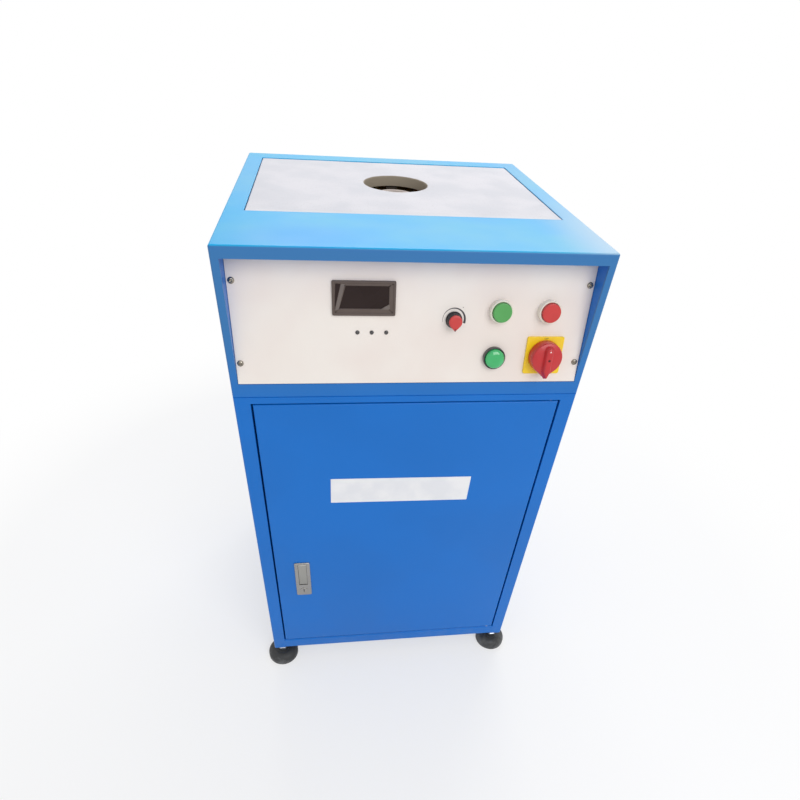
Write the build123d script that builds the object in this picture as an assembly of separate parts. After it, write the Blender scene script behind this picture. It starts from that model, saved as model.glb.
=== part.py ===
from build123d import *
import os
from math import cos, hypot, radians, sin, sqrt, tan

# A floor-standing induction furnace for melting gold, in millimetres.
# +Z is up, the front faces -Y, and the origin lies on the floor under the middle of the cabinet.

os.makedirs("parts", exist_ok=True)

# ---------------------------------------------------------------- cabinet
cabinet_width = 480.0
cabinet_depth = 480.0
lower_height = 609.5
upper_height = 196.5
foot_height = 42.0
sheet = 1.5
bend_radius = 3.0
seam_gap = 1.5
seam_recess = 0.8
rear_flange = 20.0
shelf_flange = 12.0

# ---------------------------------------------------------------- door
stile_width = 24.5
door_top_margin = 13.0
door_bottom_margin = 28.0
door_fold = 18.0
door_gap = 2.5
hat_half_width = 32.0
hat_rise = 12.5
hat_end_margin = 24.0
hinge_inset = 10.0
hinge_setback = 6.0
hinge_pin_radius = 3.0
hinge_bush_wall = 1.8
hinge_bush_length = 14.0
hinge_plate = 20.0
hinge_pin_gap = 2.0
running_clearance = 0.05
seat_clearance = 0.3

# ---------------------------------------------------------------- flush lock
lock_inset = 46.0
lock_drop = 585.0
lock_width = 27.0
lock_height = 90.0
lock_rim = 2.0
lock_body_depth = 15.0
lock_body_inset = 2.2
lock_pocket_width = 15.0
lock_pocket_low = -15.0
lock_pocket_high = 41.2
lock_pocket_depth = 11.0
lever_side_clearance = 0.4
lever_end_clearance = 1.0
lever_thickness = 8.2
lever_proud = 1.2
lever_pivot_height = 36.0
lever_pivot_depth = 3.0
lever_overhang = 2.6
lever_edge = 0.8
lever_lip = 3.0
lever_scoop = 6.0
lever_pin_radius = 1.5
lever_pin_reach = 1.9
cylinder_height = -31.0
cylinder_radius = 7.0
cylinder_proud = 0.6
cylinder_stub_radius = 4.0
key_slot = (1.2, 8.0)
key_slot_depth = 8.0
cam_nut = 11.0
cam_nut_height = 4.2
cam_length = 58.0
cam_width = 16.0
cam_thickness = 3.0
cam_clearance = 0.6

# ---------------------------------------------------------------- upper casing and deck
deck_front_band = 131.5
deck_rear_band = 36.5
deck_side_band = 26.0
board_thickness = 13.0
board_drop = 2.5
board_clearance = 0.7
ledge_leg = 15.0
charge_hole_radius = 49.0
hearth_y = 62.0
front_top_rail = 15.0
front_side_strip = 10.0
front_bottom_strip = 19.0
rear_panel_margin = 1.0

# ---------------------------------------------------------------- control panel
panel_tilt = 10.1
panel_thickness = 2.0
panel_side_clearance = 0.5
panel_edge_clearance = 0.8
panel_flange = 12.0
panel_screw_inset = 6.2
panel_screw_heights = (29.0, 131.0)
screw_radius = 2.0
screw_clearance = 0.2
screw_head_radius = 4.0
screw_head_height = 2.6
screw_length = 7.0
screw_hex = 7.0

meter_position = (-66.5, 111.8)
meter_size = (79.0, 43.0)
meter_proud = 4.0
meter_depth = 60.0
meter_wall = 1.8
meter_window_size = (62.0, 29.0)
meter_window_thickness = 1.2
meter_recess = 1.6

indicator_columns = (-74.6, -56.5, -37.8)
indicator_height = 69.0
indicator_radius = 2.75
indicator_depth = 9.0
indicator_proud = 1.8
indicator_clearance = 0.2

start_position = (109.0, 98.0)
stop_position = (174.0, 98.0)
lamp_position = (108.0, 36.0)
head_radius = 14.8
head_height = 9.5
head_floor = 1.0
barrel_radius = 11.0
barrel_length = 22.0
barrel_clearance = 0.2
cap_radius = 12.2
cap_clearance = 0.4
cap_proud = 4.0
button_travel = 4.0
plunger_radius = 5.0
plunger_clearance = 0.1
plunger_end = 5.0
contact_block = (28.0, 38.0, 30.0)
contact_lug_reach = 3.0
contact_lug_levels = (4.0, 10.0)

lamp_bezel_height = 6.5
lens_radius = 11.6
lens_clearance = 0.2
lens_seat = 2.0
lens_proud = 6.5
lens_crown = 3.5

knob_position = (49.0, 86.0)
knob_radius = 9.5
knob_height = 11.0
knob_gap = 0.8
knob_cap_radius = 8.5
knob_cap_height = 3.2
knob_pointer_reach = 12.0
knob_shaft_radius = 3.0
knob_shaft_length = 11.0
potentiometer_radius = 12.0
potentiometer_depth = 14.0
potentiometer_bush_radius = 4.5
potentiometer_bush_proud = 0.4
potentiometer_lug_width = 16.0
potentiometer_lug_reach = 6.0
potentiometer_lug_levels = (2.0, 5.0)
potentiometer_wall = 2.0

switch_position = (177.0, 39.0)
switch_plate_size = 51.0
switch_plate_thickness = 3.0
switch_disc_radius = 23.0
switch_disc_thickness = 6.0
switch_grip_width = 14.0
switch_grip_height = 18.0
switch_grip_top = 20.0
switch_tip_reach = 28.0
switch_grip_taper = 7.0
switch_gap = 0.6
switch_shaft_radius = 4.0
switch_shaft_length = 22.0
switch_body_size = (46.0, 46.0, 44.0)
switch_decks = 3
switch_deck_step = 2.0

# ---------------------------------------------------------------- hearth, coil and crucible
crucible_rim_drop = 16.5
crucible_height = 110.0
crucible_radius = 33.0
crucible_foot_radius = 24.0
crucible_taper = 22.0
crucible_wall = 6.0
hearth_base_size = 150.0
hearth_base_thickness = 25.0
lining_gap = 4.0
lining_wall = 5.2
lining_top_drop = 16.0
coil_tube = 9.0
coil_pitch = 20.8
coil_turns = 4.5
coil_start_rise = 7.0
coil_joint_wall = 1.0
points_per_turn = 60
coil_lead_end = 196.0
nipple_length = 14.0
nipple_radius = 4.3
nipple_bore_radius = 3.0
post_angles = (90.0, 210.0, 330.0)
post_thickness = 12.0
post_width = 18.0
post_top_drop = 17.5
lead_board_y = 170.0
lead_board_thickness = 10.0
lead_board_half_width = 75.0
hose_radius = 7.5
hose_end_gap = 1.0
fitting_spigot_radius = 5.0
fitting_spigot_length = 20.0
fitting_hex = 19.0
fitting_hex_thickness = 6.0
fitting_thread_radius = 7.0
fitting_inner_reach = 24.0

# ---------------------------------------------------------------- power electronics
busbar_thickness = 4.0
busbar_width = 20.0
busbar_y = 152.0
busbar_lap = 8.0
busbar_drop = 65.0
busbar_slot_clearance = 5.0
core_leg = 20.0
core_depth = 30.0
core_height = 100.0
winding_wall = 8.0
winding_clearance = 0.3
winding_end_gap = 1.0
plate_y = 100.0
plate_fold = 20.0
plate_top_drop = 110.0
sink_drop = 240.75
sink_width = 220.0
sink_height = 180.0
sink_base = 8.0
sink_fin_depth = 50.0
sink_fin_thickness = 2.0
sink_fin_pitch = 10.0
sink_margin = 12.0
sink_window_gap = 1.0
module_base = (62.0, 106.0)
module_base_height = 18.0
module_case = (44.0, 90.0)
module_case_height = 25.0
module_height = 30.0
module_terminal = 12.0
module_terminal_pitch = 28.0
module_spacing = 90.0
capacitor_x = -165.0
capacitor_radius = 26.0
capacitor_length = 95.0
capacitor_pitch = 66.0
capacitor_count = 3
capacitor_stud = 8.0
capacitor_stud_x = 11.0
capacitor_stud_height = 6.0
board_size = (210.0, 110.0)
board_rise = 180.0
board_standoff = 15.0
board_sheet = 1.6
board_standoff_inset = 6.0
board_standoff_radius = 3.0
board_transformer = ((-92.0, -48.0), (0.0, 36.0))
board_transformer_height = 32.0
board_relay = ((-28.0, -12.0), (21.0, 43.0))
board_relay_height = 15.0
board_relay_pitch = 22.0
board_relay_count = 4
board_connector = ((-65.0, 85.0), (-50.0, -39.0))
board_connector_height = 10.0
board_chip = ((23.0, 57.0), (-22.0, 12.0))
board_chip_height = 3.0
board_can_radius = 7.0
board_can_height = 20.0
board_can_places = ((-80.0, -20.0), (-62.0, -20.0))
contactor_x = 165.0
contactor_size = (48.0, 82.0, 78.0)
contactor_step = 42.9
contactor_waist = 25.42

# ---------------------------------------------------------------- fan, rear panel and gland
fan_size = 120.0
fan_thickness = 38.0
fan_duct_radius = 57.0
fan_motor_radius = 21.0
fan_motor_depth = 10.0
fan_strut = 5.0
fan_shaft_radius = 2.5
fan_shaft_length = 6.0
fan_hub_radius = 20.5
fan_tip_radius = 55.0
fan_root_chord = 20.0
fan_tip_chord = 30.0
fan_blade_thickness = 2.0
fan_blade_angle = 40.0
fan_blades = 7
fan_gap = 0.5
fan_mouth = 6.0
fan_blade_root = 1.5
fan_screw_hole_depth = 12.0
guard_thickness = 2.0
guard_bar = 4.0
guard_slot = 7.0
guard_slot_rows = 10
guard_spine = 6.0
guard_corner = 5.0
fan_screw_spacing = 105.0
gland_inset = 70.0
gland_rise = 70.0
gland_bore_radius = 6.0
gland_thread_radius = 9.0
gland_hex = 24.0
gland_hex_thickness = 6.0
gland_dome_length = 16.0
gland_dome_radius = 11.0
gland_thread_length = 8.0
gland_nut_thickness = 4.0
rear_screw_inset = 10.0
rear_screw_margin = 40.0
rear_screw_rows = 2
louvre_height = 12.0
louvre_depth = 6.0
louvre_pitch = 20.0
louvre_sheet = 1.2
side_louvre_length = 160.0
side_louvre_count = 7
side_louvre_drop = 208.75
side_louvre_y = 60.0
rear_louvre_length = 240.0
rear_louvre_count = 7
rear_louvre_drop = 178.75

# ---------------------------------------------------------------- levelling feet
foot_inset = 15.0
foot_pad_radius = 30.0
foot_pad_height = 22.0
foot_nut_across_flats = 19.0
foot_nut_height = 9.0
foot_stud_radius = 6.0
foot_stud_reach = 20.0
foot_weld_nut = 19.0
foot_weld_nut_height = 10.0
foot_thread_clearance = 0.05

# ---------------------------------------------------------------- places worked out from the sizes
half_width = cabinet_width / 2
front = -cabinet_depth / 2
back = cabinet_depth / 2
base_z = foot_height
seam_z = base_z + lower_height
top_z = seam_z + upper_height
lower_top = seam_z - seam_gap / 2
shelf_top = seam_z + seam_gap / 2
door_low = base_z + door_bottom_margin
door_high = seam_z - door_top_margin
door_width = cabinet_width - 2 * stile_width
opening_half_width = door_width / 2 + door_gap
opening_low = door_low - door_gap
opening_high = door_high + door_gap
inner_half_width = half_width - sheet
deck_half_width = half_width - deck_side_band
deck_low_y = front + deck_front_band
deck_high_y = back - deck_rear_band
board_top = top_z - board_drop
board_underside = board_top - board_thickness
panel_low_z = shelf_top + front_bottom_strip
panel_high_z = top_z - front_top_rail
panel_half_width = half_width - front_side_strip
tilt = radians(panel_tilt)
panel_rise = panel_high_z - panel_low_z
panel_slope = panel_rise / cos(tilt)
panel_screw_x = panel_half_width - panel_screw_inset
lock_x = lock_inset - door_width / 2
hinge_x = door_width / 2 - hinge_inset
hinge_y = front + hinge_setback
foot_offset_x = half_width - foot_inset
foot_offset_y = cabinet_depth / 2 - foot_inset
crucible_rim = top_z - crucible_rim_drop
crucible_base = crucible_rim - crucible_height
lining_inner_radius = crucible_radius + lining_gap
lining_outer_radius = lining_inner_radius + lining_wall
coil_mean_radius = lining_outer_radius + seat_clearance + coil_joint_wall + coil_tube / 2
coil_low_z = crucible_base + coil_start_rise
coil_high_z = coil_low_z + coil_pitch * coil_turns
lead_side = coil_mean_radius + coil_tube / 2
sink_z = lower_top - plate_top_drop - sink_drop
fan_z = sink_z
rear_inner = back - sheet
rear_screw_x = half_width - rear_screw_inset
gland_x = gland_inset - half_width

panel_plane = Plane(origin=(0, front, panel_low_z), x_dir=(1, 0, 0), z_dir=(0, -cos(tilt), sin(tilt)))
front_plane = Plane(origin=(0, front, 0), x_dir=(1, 0, 0), z_dir=(0, -1, 0))
rear_plane = Plane(origin=(0, back, 0), x_dir=(-1, 0, 0), z_dir=(0, 1, 0))
left_plane = Plane(origin=(-half_width, 0, 0), x_dir=(0, -1, 0), z_dir=(-1, 0, 0))
lock_plane = Plane(origin=(lock_x, front, top_z - lock_drop), x_dir=(1, 0, 0), z_dir=(0, -1, 0))
fan_plane = Plane(origin=(0, back, fan_z), x_dir=(-1, 0, 0), z_dir=(0, 1, 0))


# ---------------------------------------------------------------- shapes that repeat
def block(x, y, z):
    """A block between a low and a high limit on each axis."""
    middle = ((x[0] + x[1]) / 2, (y[0] + y[1]) / 2, (z[0] + z[1]) / 2)
    return Pos(*middle) * Box(x[1] - x[0], y[1] - y[0], z[1] - z[0])


def rod(radius, low, high, u=0.0, v=0.0):
    """A cylinder along the local Z axis from low to high, at (u, v)."""
    return Pos(u, v, (low + high) / 2) * Cylinder(radius, high - low)


def tube(outer, inner, low, high, u=0.0, v=0.0):
    """A round tube along the local Z axis."""
    return rod(outer, low, high, u, v) - rod(inner, low, high, u, v)


def slab(size, low, high, corner, u=0.0, v=0.0):
    """A plate with rounded corners in the local XY plane, from low to high."""
    outline = Pos(u, v, low) * RectangleRounded(size[0], size[1], corner)
    return extrude(outline, amount=high - low)


def hexagon(across_flats, low, high, u=0.0, v=0.0):
    """A six-sided nut or flange along the local Z axis."""
    outline = Pos(u, v, low) * RegularPolygon(across_flats / 2, 6, major_radius=False)
    return extrude(outline, amount=high - low)


def turned(points):
    """A piece turned about the local Z axis from (radius, height) points."""
    outline = make_face(Polyline(*[(r, 0, h) for r, h in points], close=True))
    return revolve(outline, axis=Axis.Z)


def folded(points, length):
    """A sheet bent along the points in the local XY plane, its thickness on the right of the line."""
    line = FilletPolyline(*points, radius=bend_radius)
    return extrude(make_face(offset(line, amount=sheet, side=Side.RIGHT)), amount=length)


def prism(points, plane, low, high):
    """A straight-sided piece drawn along the plane's normal from low to high."""
    outline = plane.offset(low) * make_face(Polyline(*points, close=True))
    return extrude(outline, amount=high - low, dir=plane.z_dir)


def louvres(plane, length, count, first, u=0.0):
    """The hoods and the cuts of a bank of louvres in a sheet whose outer face is the plane."""
    slope = hypot(louvre_height, louvre_depth)
    inner_height = louvre_height - louvre_sheet * slope / louvre_depth
    inner_depth = louvre_depth - louvre_sheet * slope / louvre_height
    mouth = 1.0
    hood_outline = [(0, 0), (louvre_height, 0), (0, louvre_depth)]
    cut_outline = [
        (-mouth, -2 * sheet),
        (inner_height, -2 * sheet),
        (inner_height, 0),
        (-mouth, inner_depth + mouth * louvre_depth / louvre_height),
    ]
    section = Plane(origin=(u, 0, 0), x_dir=(0, 1, 0), z_dir=(1, 0, 0))
    hood = prism(hood_outline, section, -length / 2, length / 2)
    cut = prism(cut_outline, section, louvre_sheet - length / 2, length / 2 - louvre_sheet)
    rows = [first + louvre_pitch * row for row in range(count)]
    hoods = [plane * (Pos(0, row, 0) * hood) for row in rows]
    cuts = [plane * (Pos(0, row, 0) * cut) for row in rows]
    return hoods, cuts


def pan_head_screw():
    """A pan-head screw whose seat is the local XY plane, without its thread."""
    head = rod(screw_head_radius, 0, screw_head_height)
    head = chamfer(head.faces().sort_by(Axis.Z)[-1].edges(), screw_head_height * 0.4)
    return head + rod(screw_radius, -screw_length, 0)


def hex_head_screw():
    """A hexagon-head screw whose seat is the local XY plane, without its thread."""
    return hexagon(screw_hex, 0, screw_head_height) + rod(screw_radius, -screw_length, 0)


# ---------------------------------------------------------------- cabinet sheets
rear_screw_pitch = (lower_height - 2 * rear_screw_margin) / (rear_screw_rows - 1)
rear_screw_heights = [base_z + rear_screw_margin + row * rear_screw_pitch for row in range(rear_screw_rows)]
panel_screw_places = [(u, v) for u in (-panel_screw_x, panel_screw_x) for v in panel_screw_heights]
rear_screw_places = [(u, v) for u in (-rear_screw_x, rear_screw_x) for v in rear_screw_heights]
fan_screw_places = [
    (u * fan_screw_spacing / 2, v * fan_screw_spacing / 2) for u in (-1, 1) for v in (-1, 1)
]
foot_places = {
    "front_left": (-foot_offset_x, -foot_offset_y),
    "front_right": (foot_offset_x, -foot_offset_y),
    "rear_left": (-foot_offset_x, foot_offset_y),
    "rear_right": (foot_offset_x, foot_offset_y),
}


def left_side_panel():
    """The left wall with its door stile, rear flange, top flange and a bank of louvres."""
    stile = (-opening_half_width, front)
    plan = [stile, (-half_width, front), (-half_width, rear_inner), (rear_flange - half_width, rear_inner)]
    wall = Pos(0, 0, base_z) * folded(plan, lower_top - base_z)
    fold = block(
        (-opening_half_width - sheet, -opening_half_width),
        (front, front + door_fold),
        (opening_low, opening_high),
    )
    shelf_rest = block(
        (-half_width + sheet / 2, -half_width + shelf_flange),
        (front + door_fold, rear_inner - sheet),
        (lower_top - sheet, lower_top),
    )
    first_louvre = lower_top - side_louvre_drop
    hoods, cuts = louvres(left_plane, side_louvre_length, side_louvre_count, first_louvre, -side_louvre_y)
    hole_radius = screw_radius + screw_clearance
    holes = [rear_plane * rod(hole_radius, -3 * sheet, 0, u, v) for u, v in rear_screw_places]
    return wall + fold + shelf_rest + hoods - cuts - holes


def floor_pan():
    """The bottom tray with the front rail under the door and a weld nut for each foot."""
    profile = [
        (front + door_fold, opening_low),
        (front, opening_low),
        (front, base_z),
        (rear_inner - sheet, base_z),
        (rear_inner - sheet, base_z + rear_flange),
    ]
    width = 2 * opening_half_width
    outline = [(-y, z) for y, z in profile]
    tray_plane = Plane(origin=(opening_half_width, 0, 0), x_dir=(0, -1, 0), z_dir=(-1, 0, 0))
    tray = tray_plane * folded(outline, width)
    floor = block(
        (-inner_half_width, inner_half_width),
        (front + sheet, rear_inner - sheet),
        (base_z, base_z + sheet),
    )
    floor = chamfer(floor.edges().filter_by(Axis.Z), bend_radius - sheet)
    pan = tray + floor
    for x, y in foot_places.values():
        pan += hexagon(foot_weld_nut, base_z + sheet, base_z + sheet + foot_weld_nut_height, x, y)
    for x, y in foot_places.values():
        bore = foot_stud_radius + foot_thread_clearance
        pan -= rod(bore, base_z - 1, base_z + sheet + foot_weld_nut_height + 1, x, y)
    pin_hole = hinge_pin_radius + running_clearance
    return pan - rod(pin_hole, opening_low - 2 * sheet, opening_low + 1, hinge_x, hinge_y)


def middle_shelf():
    """The plate in the seam between the two sections, with the rail over the door."""
    reach_x = half_width - seam_recess
    plate = block((-reach_x, reach_x), (front + seam_recess, back - seam_recess), (lower_top, shelf_top))
    profile = [
        (front + door_fold, lower_top),
        (front, lower_top),
        (front, opening_high),
        (front + door_fold, opening_high),
    ]
    rail_plane = Plane(origin=(-opening_half_width, 0, 0), x_dir=(0, 1, 0), z_dir=(1, 0, 0))
    line = Polyline(*profile)
    section = make_face(offset(line, amount=sheet, side=Side.LEFT, kind=Kind.INTERSECTION))
    rail = rail_plane * extrude(section, amount=2 * opening_half_width)
    slots = []
    for side in (-1, 1):
        bar_middle = side * (lead_side + busbar_thickness / 2)
        half_x = busbar_thickness / 2 + busbar_slot_clearance
        half_y = busbar_width / 2 + busbar_slot_clearance
        slots.append(
            block(
                (bar_middle - half_x, bar_middle + half_x),
                (busbar_y - half_y, busbar_y + half_y),
                (lower_top - 1, shelf_top + 1),
            )
        )
    pin_bore = hinge_pin_radius + running_clearance
    pin_hole = rod(pin_bore, opening_high - 1, opening_high + 2 * sheet, hinge_x, hinge_y)
    return plate + rail - slots - pin_hole


def rear_panel():
    """The removable back of the lower section, with louvres, the fan's hole and the gland's hole."""
    half = half_width - rear_panel_margin
    limits_z = (base_z + rear_panel_margin, lower_top - rear_panel_margin)
    plate = block((-half, half), (rear_inner, back), limits_z)
    hoods, cuts = louvres(rear_plane, rear_louvre_length, rear_louvre_count, lower_top - rear_louvre_drop)
    hole_radius = screw_radius + screw_clearance
    gland_hole = gland_thread_radius + running_clearance
    holes = [rear_plane * rod(hole_radius, -2 * sheet, 1, u, v) for u, v in rear_screw_places]
    holes += [fan_plane * rod(hole_radius, -2 * sheet, 1, u, v) for u, v in fan_screw_places]
    holes.append(fan_plane * rod(fan_duct_radius, -2 * sheet, 1))
    holes.append(rear_plane * rod(gland_hole, -2 * sheet, 1, -gland_x, base_z + gland_rise))
    return plate + hoods - cuts - holes


def upper_casing():
    """The welded cover of the upper section: deck, walls, the well of the tilted panel, seat flanges."""
    outer = block((-half_width, half_width), (front, back), (shelf_top, top_z))
    soft_edges = outer.edges().filter_by(Axis.Z) + outer.faces().sort_by(Axis.Z)[-1].edges()
    outer = fillet(soft_edges, bend_radius)
    inner = block(
        (-inner_half_width, inner_half_width),
        (front + sheet, rear_inner),
        (shelf_top - 1, top_z - sheet),
    )
    inner = fillet(inner.edges().filter_by(Axis.Z), bend_radius - sheet)
    casing = outer - inner
    seat = block(
        (-inner_half_width, inner_half_width),
        (front + sheet, rear_inner),
        (shelf_top, shelf_top + sheet),
    )
    seat_window = block(
        (shelf_flange - inner_half_width, inner_half_width - shelf_flange),
        (front + sheet + shelf_flange, rear_inner - shelf_flange),
        (shelf_top - 1, shelf_top + 2 * sheet),
    )
    casing += seat - seat_window
    casing -= block(
        (-deck_half_width, deck_half_width),
        (deck_low_y, deck_high_y),
        (top_z - 2 * sheet, top_z + 1),
    )
    casing -= block(
        (-panel_half_width, panel_half_width),
        (front - 1, front + 2 * sheet),
        (panel_low_z, panel_high_z),
    )
    casing += panel_well()
    for side, height in ((-1, coil_low_z), (1, coil_high_z)):
        casing -= rear_plane * rod(
            fitting_thread_radius + running_clearance, -2 * sheet, 1, -side * coil_mean_radius, height
        )
    hole_radius = screw_radius + screw_clearance
    hole_end = -panel_thickness - 2 * sheet
    return casing - [panel_plane * rod(hole_radius, hole_end, 0, u, v) for u, v in panel_screw_places]


def panel_well():
    """The returns round the tilted panel and the flange that the panel is screwed to."""
    panel_back = panel_thickness / cos(tilt)
    flange_back = (panel_thickness + sheet) / cos(tilt)
    low = panel_low_z - sheet
    high = panel_high_z + sheet
    outer = [
        (front, low),
        (front, high),
        (front + (high - panel_low_z) * tan(tilt) + flange_back, high),
        (front + (low - panel_low_z) * tan(tilt) + flange_back, low),
    ]
    inner = [
        (front - 1, panel_low_z),
        (front - 1, panel_high_z),
        (front + panel_rise * tan(tilt) + panel_back, panel_high_z),
        (front + panel_back, panel_low_z),
    ]
    reach = panel_half_width + sheet
    well = prism(outer, Plane.YZ, -reach, reach)
    well -= prism(inner, Plane.YZ, -panel_half_width, panel_half_width)
    window = block(
        (panel_flange - panel_half_width, panel_half_width - panel_flange),
        (panel_flange, panel_slope - panel_flange),
        (-panel_thickness - 2 * sheet, 0),
    )
    return well - panel_plane * window


def cover_screws():
    """The pan-head screws of the control panel and the hexagon-head ones of the rear panel and the fan."""
    pan_head = pan_head_screw()
    hex_head = hex_head_screw()
    screws = [panel_plane * (Pos(u, v, 0) * pan_head) for u, v in panel_screw_places]
    screws += [rear_plane * (Pos(u, v, 0) * hex_head) for u, v in rear_screw_places]
    screws += [fan_plane * (Pos(u, v, guard_thickness) * hex_head) for u, v in fan_screw_places]
    return screws


# ---------------------------------------------------------------- door and lock
def door_panel():
    """The door: a folded pan with a hat-section stiffener, two hinge bushes and the lock's cut-out."""
    middle = (door_low + door_high) / 2
    pan = front_plane * (Pos(0, middle, -door_fold / 2) * Box(door_width, door_high - door_low, door_fold))
    pan = fillet(pan.faces().sort_by(Axis.Y)[0].edges(), bend_radius * 0.7)
    pan -= block(
        (sheet - door_width / 2, door_width / 2 - sheet),
        (front + sheet, front + door_fold + 1),
        (door_low + sheet, door_high - sheet),
    )
    hat = [
        (-hat_half_width, -sheet),
        (-hat_half_width * 0.55, -sheet),
        (-hat_half_width * 0.4, -sheet - hat_rise),
        (hat_half_width * 0.4, -sheet - hat_rise),
        (hat_half_width * 0.55, -sheet),
        (hat_half_width, -sheet),
    ]
    hat_length = door_high - door_low - 2 * hat_end_margin
    hat_plane = Plane(origin=(0, front, door_high - hat_end_margin), x_dir=(1, 0, 0), z_dir=(0, 0, -1))
    section = make_face(offset(Polyline(*hat), amount=sheet, side=Side.RIGHT, kind=Kind.INTERSECTION))
    door = pan + hat_plane * extrude(section, amount=hat_length)
    bush_radius = hinge_pin_radius + hinge_bush_wall
    door += rod(bush_radius, door_low, door_low + hinge_bush_length, hinge_x, hinge_y)
    door += rod(bush_radius, door_high - hinge_bush_length, door_high, hinge_x, hinge_y)
    door -= rod(hinge_pin_radius + running_clearance, door_low - 1, door_high + 1, hinge_x, hinge_y)
    cut_width = lock_width - 2 * lock_body_inset + 2 * seat_clearance
    cut_height = lock_height - 2 * lock_body_inset + 2 * seat_clearance
    return door - lock_plane * Box(cut_width, cut_height, 4 * sheet)


def hinge_pins():
    """The two pins that the door turns on, each riveted in a small plate, the lower one with a collar."""
    plate_x = (hinge_x - hinge_plate / 2, hinge_x + hinge_plate / 2 - 2 * sheet)
    plate_y_limits = (front + 2 * sheet, front + door_fold)
    engaged = hinge_bush_length - hinge_pin_gap
    top = rod(hinge_pin_radius, door_high - engaged, opening_high + sheet, hinge_x, hinge_y)
    top += block(plate_x, plate_y_limits, (opening_high + sheet, opening_high + 2 * sheet))
    low = rod(hinge_pin_radius, opening_low - sheet, door_low + engaged, hinge_x, hinge_y)
    low += block(plate_x, plate_y_limits, (opening_low - 3 * sheet, opening_low - sheet))
    collar = hinge_pin_radius + hinge_bush_wall
    low += rod(collar, opening_low, door_low - seat_clearance, hinge_x, hinge_y)
    return [top, low]


def lock_case():
    """The flush lock's case: a rim on the door, the pocket of the lever and the cylinder's bore."""
    rim = slab((lock_width, lock_height), 0, lock_rim, 3.0)
    rim = chamfer(rim.faces().sort_by(Axis.Z)[-1].edges(), 0.6)
    body_size = (lock_width - 2 * lock_body_inset, lock_height - 2 * lock_body_inset)
    body = Pos(0, 0, -lock_body_depth / 2) * Box(*body_size, lock_body_depth)
    pocket_height = lock_pocket_high - lock_pocket_low
    pocket_middle = (lock_pocket_high + lock_pocket_low) / 2
    pocket_span = lock_pocket_depth + lock_rim + 1
    pocket = Box(lock_pocket_width, pocket_height, pocket_span)
    pocket = Pos(0, pocket_middle, lock_rim + 1 - pocket_span / 2) * pocket
    bore = rod(cylinder_radius + running_clearance, -lock_body_depth - 1, lock_rim + 1, 0, cylinder_height)
    pin_bore = Pos(0, lever_pivot_height, -lever_pivot_depth) * Rot(0, 90, 0)
    pin_half = lock_pocket_width / 2 + lever_pin_reach + 0.2
    pin_bore = pin_bore * Cylinder(lever_pin_radius + running_clearance, 2 * pin_half)
    return lock_plane * (rim + body - pocket - bore - pin_bore)


def lock_lever():
    """The pull lever, hinged at its top on two short pins, with a finger scoop at its foot."""
    low = lock_pocket_low + lever_end_clearance
    high = lever_pivot_height + lever_overhang
    width = lock_pocket_width - 2 * lever_side_clearance
    side = lever_proud - lever_thickness
    outline = [
        (low + lever_scoop, side),
        (high, side),
        (high, lever_proud - lever_edge),
        (high - lever_edge, lever_proud),
        (low, lever_proud),
        (low, lever_proud - lever_lip),
    ]
    section = Plane(origin=(0, 0, 0), x_dir=(0, 1, 0), z_dir=(1, 0, 0))
    lever = prism(outline, section, -width / 2, width / 2)
    pin_half = lock_pocket_width / 2 + lever_pin_reach
    pin = Rot(0, 90, 0) * Cylinder(lever_pin_radius, 2 * pin_half)
    return lock_plane * (lever + Pos(0, lever_pivot_height, -lever_pivot_depth) * pin)


def lock_cylinder():
    """The key cylinder with its key slot, its stub for the cam and the nut that holds the cam."""
    cam_back = door_fold + cam_clearance + cam_thickness
    barrel_back = lock_body_depth + seat_clearance
    cylinder = rod(cylinder_radius, -barrel_back, lock_rim + cylinder_proud)
    nut_back = -cam_back - seat_clearance - cam_nut_height
    cylinder += rod(cylinder_stub_radius, nut_back + seat_clearance, -barrel_back)
    cylinder += hexagon(cam_nut, nut_back, -cam_back - seat_clearance)
    slot_x = (-key_slot[0] / 2, key_slot[0] / 2)
    slot_y = (-key_slot[1] / 2, key_slot[1] / 2)
    cylinder -= block(slot_x, slot_y, (-key_slot_depth, lock_rim + cylinder_proud + 1))
    return lock_plane * (Pos(0, cylinder_height, 0) * cylinder)


def lock_cam():
    """The cam behind the door: it hangs down when unlocked and turns out behind the stile."""
    low = -door_fold - cam_clearance - cam_thickness
    outline = SlotCenterPoint((0, -(cam_length - cam_width / 2) / 2), (0, 0), cam_width)
    cam = extrude(Pos(0, 0, low) * outline, amount=cam_thickness)
    cam -= rod(cylinder_stub_radius + running_clearance, low - 1, low + cam_thickness + 1)
    return lock_plane * (Pos(0, cylinder_height, 0) * cam)


# ---------------------------------------------------------------- top board
def top_board():
    """The heat-proof board let into the deck, with the charge opening."""
    board = block(
        (board_clearance - deck_half_width, deck_half_width - board_clearance),
        (deck_low_y + board_clearance, deck_high_y - board_clearance),
        (board_underside, board_top),
    )
    board = chamfer(board.faces().sort_by(Axis.Z)[-1].edges(), 0.8)
    return board - rod(charge_hole_radius, board_underside - 1, board_top + 1, 0, hearth_y)


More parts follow.
